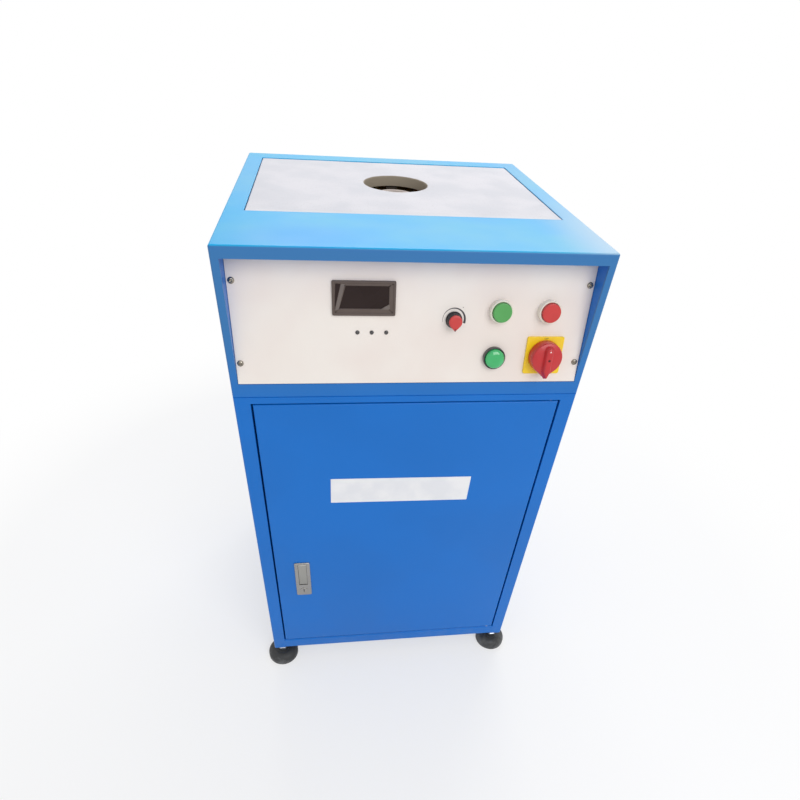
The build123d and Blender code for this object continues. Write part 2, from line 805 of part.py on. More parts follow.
def board_ledge():
    """Four angle strips under the deck that the board lies on."""
    drop = top_z - sheet
    shelf = board_underside - sheet
    angles = []
    depth = deck_high_y - deck_low_y
    profile = [(0, shelf), (ledge_leg, shelf), (ledge_leg, shelf + sheet), (sheet, shelf + sheet)]
    profile += [(sheet, drop), (0, drop)]
    for side in (-1, 1):
        origin = (side * (deck_half_width + sheet), 0, 0)
        plane = Plane(origin=origin, x_dir=(-side, 0, 0), z_dir=(0, side, 0))
        mid = side * (deck_low_y + deck_high_y) / 2
        angles.append(prism(profile, plane, mid - depth / 2, mid + depth / 2))
    run = deck_half_width + sheet - ledge_leg - seat_clearance
    for side, place in ((-1, deck_low_y - sheet), (1, deck_high_y + sheet)):
        plane = Plane(origin=(0, place, 0), x_dir=(0, -side, 0), z_dir=(-side, 0, 0))
        angles.append(prism(profile, plane, -run, run))
    return angles


# ---------------------------------------------------------------- control panel and its devices
def control_panel():
    """The tilted front sheet with the cut-outs of its devices."""
    sheet_half = panel_half_width - panel_side_clearance
    low = panel_edge_clearance
    high = panel_slope - panel_edge_clearance
    panel = block((-sheet_half, sheet_half), (low, high), (-panel_thickness, 0))
    below = -panel_thickness - 1
    round_devices = (start_position, stop_position, lamp_position)
    cuts = [rod(screw_radius + screw_clearance, below, 1, u, v) for u, v in panel_screw_places]
    cuts += [rod(barrel_radius + barrel_clearance, below, 1, *place) for place in round_devices]
    cuts += [rod(indicator_radius, below, 1, u, indicator_height) for u in indicator_columns]
    cuts.append(rod(potentiometer_bush_radius + barrel_clearance, below, 1, *knob_position))
    cuts.append(rod(switch_shaft_radius + 2.0, below, 1, *switch_position))
    meter_cut = [size - 2 * meter_wall + 2 * screw_clearance for size in meter_size]
    cuts.append(Pos(*meter_position, 0) * Box(*meter_cut, 4 * panel_thickness))
    return panel_plane * (panel - cuts)


def meter_housing():
    """The panel meter: a chamfered bezel, the window's recess and the case behind the panel."""
    bezel = slab(meter_size, 0, meter_proud, 1.5)
    bezel = chamfer(bezel.faces().sort_by(Axis.Z)[-1].edges(), 1.0)
    case = Box(meter_size[0] - 2 * meter_wall, meter_size[1] - 2 * meter_wall, meter_depth)
    case = Pos(0, 0, -meter_depth / 2) * case
    recess = Box(meter_window_size[0] + 0.4, meter_window_size[1] + 0.4, 2 * meter_recess)
    recess = Pos(0, 0, meter_proud) * recess
    return panel_plane * (Pos(*meter_position, 0) * (bezel + case - recess))


def meter_window():
    """The dark window in the meter's recess."""
    level = meter_proud - meter_recess + meter_window_thickness / 2
    pane = Pos(*meter_position, level) * Box(*meter_window_size, meter_window_thickness)
    return panel_plane * pane


def indicator_lamps():
    """Three small round lamps pressed into the panel."""
    lamp = rod(indicator_radius - indicator_clearance, -indicator_depth, indicator_proud)
    return [panel_plane * (Pos(u, indicator_height, 0) * lamp) for u in indicator_columns]


def button_heads():
    """The round bezels of the start and stop buttons, with their barrels through the panel."""
    heads = []
    for place in (start_position, stop_position):
        head = turned(
            [
                (plunger_radius + plunger_clearance, -barrel_length),
                (barrel_radius, -barrel_length),
                (barrel_radius, 0),
                (head_radius, 0),
                (head_radius, head_height),
                (cap_radius + cap_clearance, head_height),
                (cap_radius + cap_clearance, head_floor),
                (plunger_radius + plunger_clearance, head_floor),
            ]
        )
        heads.append(panel_plane * (Pos(*place, 0) * head))
    return heads


def button_cap(place):
    """A push-button's cap with its plunger, standing proud of the bezel."""
    underside = head_floor + button_travel + seat_clearance
    cap = rod(cap_radius, underside, head_height + cap_proud)
    cap += rod(plunger_radius, plunger_end - barrel_length, underside)
    return panel_plane * (Pos(*place, 0) * cap)


def contact_blocks():
    """The contact blocks behind the two buttons and the pilot lamp."""
    blocks = []
    far = -barrel_length - contact_block[2]
    for place in (start_position, stop_position, lamp_position):
        half_u = contact_block[0] / 2
        half_v = contact_block[1] / 2
        body = block((-half_u, half_u), (-half_v, half_v), (far, -barrel_length))
        lug_v = half_v + contact_lug_reach
        lug_levels = (far + contact_lug_levels[0], far + contact_lug_levels[1])
        body += block((-half_u / 2, half_u / 2), (-lug_v, lug_v), lug_levels)
        blocks.append(panel_plane * (Pos(*place, 0) * body))
    return blocks


def pilot_lamp_bezel():
    """The black ring of the pilot lamp with its barrel."""
    bezel = rod(barrel_radius, -barrel_length, 0) + rod(head_radius, 0, lamp_bezel_height)
    bezel -= rod(lens_radius + lens_clearance, lens_seat, lamp_bezel_height + 1)
    return panel_plane * (Pos(*lamp_position, 0) * bezel)


def pilot_lamp_lens():
    """The crowned lens in the pilot lamp's ring."""
    lens = rod(lens_radius, lens_seat, lamp_bezel_height + lens_proud)
    lens = chamfer(lens.faces().sort_by(Axis.Z)[-1].edges(), lens_crown)
    return panel_plane * (Pos(*lamp_position, 0) * lens)


def potentiometer():
    """The potentiometer behind the panel with its bush through it."""
    body = rod(potentiometer_radius, -potentiometer_depth, -panel_thickness)
    body += rod(potentiometer_bush_radius, -panel_thickness, potentiometer_bush_proud)
    lug_half = potentiometer_lug_width / 2
    lug_low = -potentiometer_radius - potentiometer_lug_reach
    lug_levels = [level - potentiometer_depth for level in potentiometer_lug_levels]
    body += block((-lug_half, lug_half), (lug_low, 0), lug_levels)
    body -= rod(knob_shaft_radius + running_clearance, potentiometer_wall - potentiometer_depth, 1)
    return panel_plane * (Pos(*knob_position, 0) * body)


def knob_body():
    """The black body of the power knob on its shaft."""
    body = rod(knob_radius, knob_gap, knob_height) + rod(knob_shaft_radius, -knob_shaft_length, knob_gap)
    return panel_plane * (Pos(*knob_position, 0) * body)


def knob_cap():
    """The red cap of the power knob, drawn out to a pointer that points down at its lowest setting."""
    disc = Circle(knob_cap_radius)
    nose = make_face(
        Polyline(
            (-knob_cap_radius * 0.62, -knob_cap_radius * 0.78),
            (-1.0, -knob_pointer_reach),
            (1.0, -knob_pointer_reach),
            (knob_cap_radius * 0.62, -knob_cap_radius * 0.78),
            close=True,
        )
    )
    cap = extrude(Pos(0, 0, knob_height) * (disc + nose), amount=knob_cap_height)
    cap = chamfer(cap.faces().sort_by(Axis.Z)[-1].edges(), 0.7)
    return panel_plane * (Pos(*knob_position, 0) * cap)


def switch_plate():
    """The square plate of the main switch."""
    plate = slab((switch_plate_size, switch_plate_size), 0, switch_plate_thickness, 2.5)
    plate = chamfer(plate.faces().sort_by(Axis.Z)[-1].edges(), 0.8)
    plate -= rod(switch_shaft_radius + 0.5, -1, switch_plate_thickness + 1)
    return panel_plane * (Pos(*switch_position, 0) * plate)


def switch_body():
    """The switch behind the panel, a stack of contact decks with the shaft's bore."""
    far = -panel_thickness - switch_body_size[2]
    half = switch_body_size[0] / 2
    waist = half - switch_deck_step
    body = block((-waist, waist), (-waist, waist), (far, -panel_thickness))
    pitch = switch_body_size[2] / switch_decks
    for deck in range(switch_decks):
        level = far + deck * pitch
        body += block((-half, half), (-half, half), (level, level + pitch - switch_deck_step))
    body -= rod(switch_shaft_radius + running_clearance, -switch_shaft_length - 1, 0)
    return panel_plane * (Pos(*switch_position, 0) * body)


def switch_handle():
    """The rotary handle: a disc with a tapered grip that ends in a pointer, on its shaft."""
    low = switch_plate_thickness + switch_gap
    disc_top = low + switch_disc_thickness
    disc = rod(switch_disc_radius, low, disc_top)
    disc = chamfer(disc.faces().sort_by(Axis.Z)[-1].edges(), 1.5)
    half = switch_grip_width / 2
    outline = make_face(
        Polyline(
            (half * 0.7, switch_grip_top),
            (-half * 0.7, switch_grip_top),
            (-half, switch_grip_top - 5.0),
            (-half, -switch_tip_reach * 0.68),
            (-1.2, -switch_tip_reach),
            (1.2, -switch_tip_reach),
            (half, -switch_tip_reach * 0.68),
            (half, switch_grip_top - 5.0),
            close=True,
        )
    )
    grip = extrude(Pos(0, 0, disc_top - 2.0) * outline, amount=switch_grip_height, taper=switch_grip_taper)
    shaft = rod(switch_shaft_radius, -switch_shaft_length, low)
    return panel_plane * (Pos(*switch_position, 0) * (disc + grip + shaft))


# ---------------------------------------------------------------- hearth, crucible and coil
def hearth_base():
    """The refractory block on the shelf, with the pedestal that the crucible stands on."""
    outline = Pos(0, hearth_y, shelf_top) * RectangleRounded(hearth_base_size, hearth_base_size, 12.0)
    base = extrude(outline, amount=hearth_base_thickness)
    pedestal_radius = lining_inner_radius - 1.0
    pedestal = rod(pedestal_radius, shelf_top, crucible_base - seat_clearance, 0, hearth_y)
    return base + pedestal


def furnace_lining():
    """The ceramic sleeve between the crucible and the coil."""
    low = shelf_top + hearth_base_thickness
    return tube(lining_outer_radius, lining_inner_radius, low, crucible_rim - lining_top_drop, 0, hearth_y)


def crucible():
    """The crucible: straight walls above a tapered foot, with a cup of even wall."""
    inner_radius = crucible_radius - crucible_wall
    profile = [
        (0, 0),
        (crucible_foot_radius, 0),
        (crucible_radius, crucible_taper),
        (crucible_radius, crucible_height),
        (inner_radius, crucible_height),
        (inner_radius, crucible_taper),
        (crucible_foot_radius - crucible_wall, crucible_wall),
        (0, crucible_wall),
    ]
    return Pos(0, hearth_y, crucible_base) * turned(profile)


def induction_coil():
    """The copper coil of square tube: a helix with a brazed joint at each end, leads and nipples."""
    height = coil_pitch * coil_turns
    helix = Pos(0, hearth_y, coil_low_z) * Rot(0, 0, 180) * Helix(coil_pitch, height, coil_mean_radius)
    section = Plane(origin=helix @ 0, x_dir=(1, 0, 0), z_dir=helix % 0) * Rectangle(coil_tube, coil_tube)
    coil = sweep(section, path=helix, is_frenet=True)
    half = coil_tube / 2
    joint = half + coil_joint_wall
    for side, level in ((-1, coil_low_z), (1, coil_high_z)):
        middle = side * coil_mean_radius
        lead_x = (middle - half, middle + half)
        coil += block(lead_x, (hearth_y, coil_lead_end), (level - half, level + half))
        joint_x = (middle - joint, middle + joint)
        coil += block(joint_x, (hearth_y - joint, hearth_y + joint), (level - joint, level + joint))
        end = Plane(origin=(middle, coil_lead_end, level), z_dir=(0, 1, 0))
        coil += end * rod(nipple_radius, 0, nipple_length)
    least_gap = least_turn_gap(helix)
    print(f"least gap of the coil to itself: {least_gap:.2f} mm")
    return coil


def least_turn_gap(helix):
    """The least gap between the coil's turns, measured on points of its middle line."""
    count = int(coil_turns * points_per_turn)
    line = [helix @ (step / count) for step in range(count + 1)]
    apart = points_per_turn // 2
    spans = [(far - near).length for index, near in enumerate(line) for far in line[index + apart :]]
    return min(spans) - coil_tube


def coil_posts():
    """The insulating posts that stand round the coil on the hearth base."""
    low = shelf_top + hearth_base_thickness
    near = lead_side + seat_clearance
    high = top_z - post_top_drop
    post = block((near, near + post_thickness), (-post_width / 2, post_width / 2), (low, high))
    return [Pos(0, hearth_y, 0) * Rot(0, 0, angle) * post for angle in post_angles]


def lead_board():
    """The insulating board on the shelf that holds both leads of the coil."""
    half = lead_board_thickness / 2
    board = block(
        (-lead_board_half_width, lead_board_half_width),
        (lead_board_y - half, lead_board_y + half),
        (shelf_top, top_z - post_top_drop),
    )
    hole = coil_tube / 2 + seat_clearance
    for side, height in ((-1, coil_low_z), (1, coil_high_z)):
        middle = side * coil_mean_radius
        board -= block(
            (middle - hole, middle + hole),
            (lead_board_y - half - 1, lead_board_y + half + 1),
            (height - hole, height + hole),
        )
    return board


def cooling_hoses():
    """The short hoses from the coil's nipples to the fittings in the back."""
    start = coil_lead_end + hose_end_gap
    end = rear_inner - fitting_hex_thickness - hose_end_gap
    hoses = []
    for side, height in ((-1, coil_low_z), (1, coil_high_z)):
        plane = Plane(origin=(side * coil_mean_radius, 0, height), z_dir=(0, 1, 0))
        hoses.append(plane * tube(hose_radius, nipple_radius + running_clearance, start, end))
    return hoses


def water_fittings():
    """The two bulkhead fittings, each with a hose spigot inside and outside and a nut on each face."""
    fittings = []
    spigot_end = fitting_hex_thickness + fitting_spigot_length
    for side, height in ((-1, coil_low_z), (1, coil_high_z)):
        fitting = rod(fitting_spigot_radius, 0, spigot_end)
        fitting += hexagon(fitting_hex, 0, fitting_hex_thickness)
        fitting += rod(fitting_thread_radius, -sheet, 0)
        fitting += hexagon(fitting_hex, -sheet - fitting_hex_thickness, -sheet)
        fitting += rod(nipple_radius, -sheet - fitting_inner_reach, -sheet)
        fitting -= rod(nipple_bore_radius, -sheet - fitting_inner_reach - 1, spigot_end + 1)
        place = Pos(-side * coil_mean_radius, height, 0)
        fittings.append(rear_plane * (place * fitting))
    return fittings


# ---------------------------------------------------------------- power electronics
def busbars():
    """The copper bars from the coil's leads down through the shelf to the transformer."""
    bars = []
    for side, height in ((-1, coil_low_z), (1, coil_high_z)):
        near = side * lead_side
        far = side * (lead_side + busbar_thickness)
        bars.append(
            block(
                (min(near, far), max(near, far)),
                (busbar_y - busbar_width / 2, busbar_y + busbar_width / 2),
                (lower_top - busbar_drop, height + busbar_lap),
            )
        )
    return bars


def transformer_core():
    """The closed ferrite core under the shelf."""
    leg_middle = lead_side - winding_wall - core_leg / 2
    half = leg_middle + core_leg / 2
    low = lower_top - core_height
    core = block((-half, half), (busbar_y - core_depth / 2, busbar_y + core_depth / 2), (low, lower_top))
    window_half = leg_middle - core_leg / 2
    return core - block((-window_half, window_half), (front, back), (low + core_leg, lower_top - core_leg))


def transformer_windings():
    """The two windings, one round each leg of the core."""
    leg_middle = lead_side - winding_wall - core_leg / 2
    low = lower_top - core_height + core_leg + winding_end_gap
    high = lower_top - core_leg - winding_end_gap
    inner = (core_leg + 2 * winding_clearance, core_depth + 2 * winding_clearance)
    outer = (core_leg + 2 * winding_wall, core_depth + 2 * winding_wall)
    middle = (low + high) / 2
    coil = Pos(0, 0, middle) * (Box(*outer, high - low) - Box(*inner, high - low))
    return [Pos(side * leg_middle, busbar_y, 0) * coil for side in (-1, 1)]


def equipment_plate():
    """The upright mounting plate with folded sides, the window behind the heat sink and the standoffs."""
    low = base_z + sheet
    high = lower_top - plate_top_drop
    plan = [
        (-inner_half_width, plate_y + plate_fold),
        (-inner_half_width, plate_y - sheet),
        (inner_half_width, plate_y - sheet),
        (inner_half_width, plate_y + plate_fold),
    ]
    line = FilletPolyline(*plan, radius=bend_radius)
    section = make_face(offset(line, amount=sheet, side=Side.LEFT))
    plate = Pos(0, 0, low) * extrude(section, amount=high - low)
    window = (sink_width / 2 - sink_margin, sink_height / 2 - sink_margin)
    plate -= block(
        (-window[0], window[0]),
        (plate_y - 2 * sheet, plate_y + 1),
        (sink_z - window[1], sink_z + window[1]),
    )
    plane = Plane(origin=(0, plate_y - sheet, sink_z + board_rise), x_dir=(1, 0, 0), z_dir=(0, -1, 0))
    standoff_u = board_size[0] / 2 - board_standoff_inset
    standoff_v = board_size[1] / 2 - board_standoff_inset
    for u in (-standoff_u, standoff_u):
        for v in (-standoff_v, standoff_v):
            plate += plane * rod(board_standoff_radius, 0, board_standoff, u, v)
    return plate


def heat_sink():
    """The extruded heat sink: its base on the plate, its fins through the plate's window."""
    back_face = plate_y - sheet
    half = sink_width / 2
    section = Pos(0, back_face - sink_base / 2) * Rectangle(sink_width, sink_base)
    fin_span = sink_width - 2 * sink_margin - 4 * sink_fin_thickness
    count = int(fin_span // sink_fin_pitch) + 1
    first = -(count - 1) * sink_fin_pitch / 2
    fin = Pos(0, back_face + sink_fin_depth / 2 - 0.5) * Rectangle(sink_fin_thickness, sink_fin_depth + 1)
    section += [Pos(first + index * sink_fin_pitch, 0) * fin for index in range(count)]
    window_half = sink_height / 2 - sink_margin - sink_window_gap
    sink = extrude(Pos(0, 0, sink_z - sink_height / 2) * section, amount=sink_height)
    fin_reach = (back_face, back_face + sink_fin_depth + 1)
    for side in (-1, 1):
        ends = sorted((sink_z + side * window_half, sink_z + side * sink_height))
        sink -= block((-half, half), fin_reach, ends)
    return sink


def power_modules():
    """Two transistor modules on the heat sink, each with a stepped case and three screw terminals."""
    face = plate_y - sheet - sink_base
    plane = Plane(origin=(0, face, sink_z), x_dir=(1, 0, 0), z_dir=(0, -1, 0))
    modules = []
    for side in (-1, 1):
        case = Pos(0, 0, module_base_height / 2) * Box(*module_base, module_base_height)
        case += Pos(0, 0, module_case_height / 2) * Box(*module_case, module_case_height)
        for step in (-1, 0, 1):
            case += hexagon(module_terminal, 0, module_height, 0, step * module_terminal_pitch)
        modules.append(plane * (Pos(side * module_spacing / 2, 0, 0) * case))
    return modules


def capacitors():
    """The can capacitors on the plate, each with two terminals."""
    plane = Plane(origin=(capacitor_x, plate_y - sheet, sink_z), x_dir=(1, 0, 0), z_dir=(0, -1, 0))
    can = rod(capacitor_radius, 0, capacitor_length)
    for side in (-1, 1):
        stud_end = capacitor_length + capacitor_stud_height
        can += hexagon(capacitor_stud, capacitor_length, stud_end, side * capacitor_stud_x)
    first = -(capacitor_count - 1) * capacitor_pitch / 2
    return [plane * (Pos(0, first + row * capacitor_pitch, 0) * can) for row in range(capacitor_count)]


def control_board():
    """The control board on its standoffs, with its connectors, relays and small transformer."""
    level = plate_y - sheet - board_standoff
    plane = Plane(origin=(0, level, sink_z + board_rise), x_dir=(1, 0, 0), z_dir=(0, -1, 0))
    half_u = board_size[0] / 2
    half_v = board_size[1] / 2
    board = block((-half_u, half_u), (-half_v, half_v), (0, board_sheet))
    board += block(*board_transformer, (0, board_sheet + board_transformer_height))
    relay = block(*board_relay, (0, board_sheet + board_relay_height))
    board += [Pos(board_relay_pitch * column, 0, 0) * relay for column in range(board_relay_count)]
    board += block(*board_connector, (0, board_sheet + board_connector_height))
    board += block(*board_chip, (0, board_sheet + board_chip_height))
    for u, v in board_can_places:
        board += rod(board_can_radius, 0, board_sheet + board_can_height, u, v)
    return plane * board


def contactor():
    """The contactor: a stepped case with a raised middle between its terminals."""
    face = plate_y - sheet
    width, height, depth = contactor_size
    half = height / 2
    waist = contactor_waist
    profile = [(half, 0), (half, contactor_step), (waist, contactor_step), (waist, depth)]
    profile += [(-v, w) for v, w in reversed(profile)]
    outline = [(face - w, sink_z + v) for v, w in profile]
    return prism(outline, Plane.YZ, contactor_x - width / 2, contactor_x + width / 2)


# ---------------------------------------------------------------- fan and gland
def fan_housing():
    """The square fan frame with its duct, four struts and the motor's seat with the shaft's bore."""
    near = -sheet
    far = near - fan_thickness
    frame = slab((fan_size, fan_size), far, near, 5.0) - rod(fan_duct_radius, far - 1, near + 1)
    motor = rod(fan_motor_radius, far, far + fan_motor_depth)
    strut = block((0, fan_duct_radius + 1), (-fan_strut / 2, fan_strut / 2), (far, far + fan_strut))
    housing = frame + motor + [Rot(0, 0, 45 + 90 * index) * strut for index in range(4)]
    housing -= rod(fan_shaft_radius + running_clearance, far + 2, far + fan_motor_depth + 1)
    hole_end = near - fan_screw_hole_depth
    holes = [rod(screw_radius + screw_clearance, hole_end, near + 1, u, v) for u, v in fan_screw_places]
    return fan_plane * (housing - holes)


def fan_rotor():
    """The rotor: a hub on its shaft with pitched blades that widen outwards."""
    seat = -sheet - fan_thickness + fan_motor_depth
    hub_low = seat + fan_gap
    hub_high = -sheet - fan_mouth
    rotor = rod(fan_hub_radius, hub_low, hub_high) + rod(fan_shaft_radius, seat - fan_shaft_length, hub_low)
    middle = (hub_low + hub_high) / 2
    root = fan_hub_radius - fan_blade_root
    outline = [
        (root, -fan_root_chord / 2),
        (fan_tip_radius, -fan_tip_chord / 2),
        (fan_tip_radius, fan_tip_chord / 2),
        (root, fan_root_chord / 2),
    ]
    half = fan_blade_thickness / 2
    blade = Pos(0, 0, middle) * Rot(fan_blade_angle, 0, 0) * prism(outline, Plane.XY, -half, half)
    rotor += [Rot(0, 0, 360 / fan_blades * index) * blade for index in range(fan_blades)]
    return fan_plane * rotor


def fan_guard():
    """The square finger guard over the fan: bars across the duct's circle and a spine down its middle."""
    guard = slab((fan_size, fan_size), 0, guard_thickness, guard_corner)
    pitch = guard_bar + guard_slot
    for row in range(guard_slot_rows):
        height = (row - (guard_slot_rows - 1) / 2) * pitch
        reach = sqrt(fan_duct_radius**2 - (abs(height) + guard_slot / 2) ** 2)
        slot_height = (height - guard_slot / 2, height + guard_slot / 2)
        for side in (-1, 1):
            ends = sorted((side * guard_spine / 2, side * reach))
            guard -= block(ends, slot_height, (-1, guard_thickness + 1))
    hole_radius = screw_radius + screw_clearance
    holes = [rod(hole_radius, -1, guard_thickness + 1, u, v) for u, v in fan_screw_places]
    return fan_plane * (guard - holes)


def cable_gland():
    """The gland for the mains lead, with its nut outside and a locknut inside."""
    dome_end = gland_hex_thickness + gland_dome_length
    gland = hexagon(gland_hex, 0, gland_hex_thickness)
    gland += rod(gland_dome_radius, gland_hex_thickness, dome_end)
    thread_end = -sheet - gland_thread_length
    gland += rod(gland_thread_radius, thread_end, 0)
    gland += hexagon(gland_hex, -sheet - gland_nut_thickness, -sheet)
    gland -= rod(gland_bore_radius, thread_end - 1, dome_end + 1)
    return rear_plane * (Pos(-gland_x, base_z + gland_rise, 0) * gland)


# ---------------------------------------------------------------- levelling feet
def foot_pad(x, y):
    """The round pad of a levelling foot."""
    return rod(foot_pad_radius, 0, foot_pad_height, x, y)


def foot_stud(x, y):
    """The stud of a levelling foot with the nut that turns it."""
    nut_top = foot_pad_height + foot_nut_height
    stud = hexagon(foot_nut_across_flats, foot_pad_height, nut_top)
    stud += rod(foot_stud_radius, nut_top, foot_height + foot_stud_reach)
    return Pos(x, y, 0) * stud


# ---------------------------------------------------------------- write one file for each piece
left_side = left_side_panel()
pieces = {
    "left_side_panel": left_side,
    "right_side_panel": mirror(left_side, about=Plane.YZ),
    "floor_pan": floor_pan(),
    "middle_shelf": middle_shelf(),
    "rear_panel": rear_panel(),
    "upper_casing": upper_casing(),
    "cover_screws": cover_screws(),
    "door_panel": door_panel(),
    "hinge_pins": hinge_pins(),
    "lock_case": lock_case(),
    "lock_lever": lock_lever(),
    "lock_cylinder": lock_cylinder(),
    "lock_cam": lock_cam(),
    "top_board": top_board(),
    "board_ledge": board_ledge(),
    "control_panel": control_panel(),
    "meter_housing": meter_housing(),
    "meter_window": meter_window(),
    "indicator_lamps": indicator_lamps(),
    "button_heads": button_heads(),
    "start_button": button_cap(start_position),
    "stop_button": button_cap(stop_position),
    "contact_blocks": contact_blocks(),
    "pilot_lamp_bezel": pilot_lamp_bezel(),
    "pilot_lamp_lens": pilot_lamp_lens(),
    "potentiometer": potentiometer(),
    "knob_body": knob_body(),
    "knob_cap": knob_cap(),
    "switch_plate": switch_plate(),
    "switch_body": switch_body(),
    "switch_handle": switch_handle(),
    "hearth_base": hearth_base(),
    "furnace_lining": furnace_lining(),
    "crucible": crucible(),
    "induction_coil": induction_coil(),
    "coil_posts": coil_posts(),
    "lead_board": lead_board(),
    "cooling_hoses": cooling_hoses(),
    "water_fittings": water_fittings(),
    "busbars": busbars(),
    "transformer_core": transformer_core(),
    "transformer_windings": transformer_windings(),
    "equipment_plate": equipment_plate(),
    "heat_sink": heat_sink(),
    "power_modules": power_modules(),
    "capacitors": capacitors(),
    "control_board": control_board(),
    "contactor": contactor(),
    "fan_housing": fan_housing(),
    "fan_rotor": fan_rotor(),
    "fan_guard": fan_guard(),
    "cable_gland": cable_gland(),
}
for corner, (x, y) in foot_places.items():
    pieces[f"{corner}_foot_pad"] = foot_pad(x, y)
    pieces[f"{corner}_foot_stud"] = foot_stud(x, y)

for name, piece in pieces.items():
    solids = [solid for item in (piece if isinstance(piece, list) else [piece]) for solid in item.solids()]
    shape = solids[0] if len(solids) == 1 else Compound(children=solids)
    export_step(shape, f"parts/{name}.step")
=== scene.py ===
from math import acos, cos, pi, radians, sin

import bmesh
import bpy
import numpy as np
from bpy.props import FloatProperty, FloatVectorProperty, IntProperty, PointerProperty
from mathutils import Euler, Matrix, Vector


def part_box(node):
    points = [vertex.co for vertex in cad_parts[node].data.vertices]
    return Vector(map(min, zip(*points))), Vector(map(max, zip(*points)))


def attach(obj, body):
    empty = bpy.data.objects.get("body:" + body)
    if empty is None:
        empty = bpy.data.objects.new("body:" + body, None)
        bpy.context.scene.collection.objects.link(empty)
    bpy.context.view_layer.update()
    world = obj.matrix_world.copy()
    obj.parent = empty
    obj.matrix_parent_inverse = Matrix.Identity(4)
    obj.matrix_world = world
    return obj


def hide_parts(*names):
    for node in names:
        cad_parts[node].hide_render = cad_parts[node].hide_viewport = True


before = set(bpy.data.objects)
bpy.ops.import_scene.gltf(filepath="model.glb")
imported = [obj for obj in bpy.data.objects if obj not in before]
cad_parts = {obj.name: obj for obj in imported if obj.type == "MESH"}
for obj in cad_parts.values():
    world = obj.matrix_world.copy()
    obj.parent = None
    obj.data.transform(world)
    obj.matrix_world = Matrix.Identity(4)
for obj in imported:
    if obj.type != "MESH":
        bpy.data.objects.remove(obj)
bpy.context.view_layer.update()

bl_info = {
    "name": "Gold melting furnace",
    "version": (1, 0, 0),
    "blender": (4, 5, 0),
    "location": "3D View > Sidebar > Furnace",
    "description": "The finishes, fittings and stage of a small floor-standing gold melting furnace",
    "category": "Object",
}

# Shapes are worked out in millimetres, in the frame's axes, and become metres when a mesh is made.
MM = 0.001
CASING_LOW, CASING_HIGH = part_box("upper_casing")
FRONT = CASING_LOW.y / MM
REAR_FACE = -FRONT
TOP = CASING_HIGH.z / MM

PANEL_TILT = radians(10.1)
PANEL_STRIP = 19.0
PANEL_FOOT = np.array((0.0, FRONT, CASING_LOW.z / MM + PANEL_STRIP))
PANEL_AXES = (
    np.array((1.0, 0.0, 0.0)),
    np.array((0.0, sin(PANEL_TILT), cos(PANEL_TILT))),
    np.array((0.0, -cos(PANEL_TILT), sin(PANEL_TILT))),
)
METER_PLACE = (-66.5, 111.8)
INDICATOR_PLACES = ((-74.6, 69.0), (-56.5, 69.0), (-37.8, 69.0))
START_PLACE = (109.0, 98.0)
STOP_PLACE = (174.0, 98.0)
LAMP_PLACE = (108.0, 36.0)
KNOB_PLACE = (49.0, 86.0)
SWITCH_PLACE = (177.0, 39.0)
PANEL_SCREWS = [(u, v) for u in (-223.8, 223.8) for v in (29.0, 131.0)]
REAR_SCREWS = [(u, z) for u in (-230.0, 230.0) for z in (82.0, 611.5)]
FAN_HEIGHT = 300.0
FAN_SCREW_REACH = 52.5
GUARD_THICKNESS = 2.0
HEARTH_Y = 62.0
FOOT_REACH = 225.0
CORNERS = ("front_left", "front_right", "rear_left", "rear_right")
DONE = {"FINISHED"}


def tone(red, green, blue):
    """A colour given in the usual 0 to 255 steps, as the linear values that shaders use."""
    steps = np.array((red, green, blue)) / 255.0
    linear = np.where(steps <= 0.04045, steps / 12.92, ((steps + 0.055) / 1.055) ** 2.4)
    return tuple(float(value) for value in linear)


def shade(name, description, *steps):
    """A colour that a user can change, with its default in 0 to 255 steps."""
    return FloatVectorProperty(
        name=name, description=description, default=tone(*steps), subtype="COLOR", size=3, min=0, max=1
    )


def length(name, description, default):
    """A length that a user can change."""
    return FloatProperty(name=name, description=description, default=default, unit="LENGTH")


class FurnaceColours(bpy.types.PropertyGroup):
    """The colours of the furnace's finishes."""

    cabinet: shade("Cabinet", "Powder coat of the door and walls", 6, 108, 196)
    rail: shade("Rail", "The coat's duller tone round the control panel", 54, 117, 176)
    # The deck's light cyan is painted sheen: the deck's top is painted lighter than the walls, as the lamps'
    # reflection.
    deck: shade("Deck", "Powder coat of the deck, bleached by heat and light", 62, 178, 222)
    panel: shade("Panel", "Enamel of the control panel", 240, 233, 226)
    board: shade("Board", "Heat-proof board in the deck", 221, 220, 226)
    start: shade("Start", "Cap of the start button", 78, 158, 80)
    stop: shade("Stop", "Cap of the stop button", 196, 48, 46)
    lamp: shade("Lamp", "Lens of the pilot lamp", 20, 160, 84)
    plate: shade("Plate", "Plate of the main switch", 244, 206, 18)
    handle: shade("Handle", "Handle of the main switch", 190, 30, 36)


class FurnaceSizes(bpy.types.PropertyGroup):
    """Sizes of the small features that only the visual model has."""

    flutes: IntProperty(name="Knob flutes", description="Grooves round the power knob", default=24, min=8, max=48)
    thread_pitch: length("Thread pitch", "Pitch of the levelling feet's studs", 1.75 * MM)
    plate_width: length("Door plate width", "Width of the blank plate on the door", 0.2215)
    plate_height: length("Door plate height", "Height of the blank plate on the door", 0.050)
    plate_middle: length("Door plate level", "Height of the plate's middle above the floor", 0.4752)


# ---------------------------------------------------------------- places
def on_panel(u, v, w=0.0):
    """A local frame on the tilted panel: three axes and an origin as columns."""
    origin = PANEL_FOOT + PANEL_AXES[0] * u + PANEL_AXES[1] * v + PANEL_AXES[2] * w
    return np.column_stack((*PANEL_AXES, origin))


def on_front(x, z):
    """A local frame on the cabinet's front, looking out of it."""
    return np.column_stack(((1, 0, 0), (0, 0, 1), (0, -1, 0), (x, FRONT, z))).astype(float)


def on_back(u, z, out=0.0):
    """A local frame on the cabinet's back, looking out of it."""
    return np.column_stack(((-1, 0, 0), (0, 0, 1), (0, 1, 0), (-u, REAR_FACE + out, z))).astype(float)


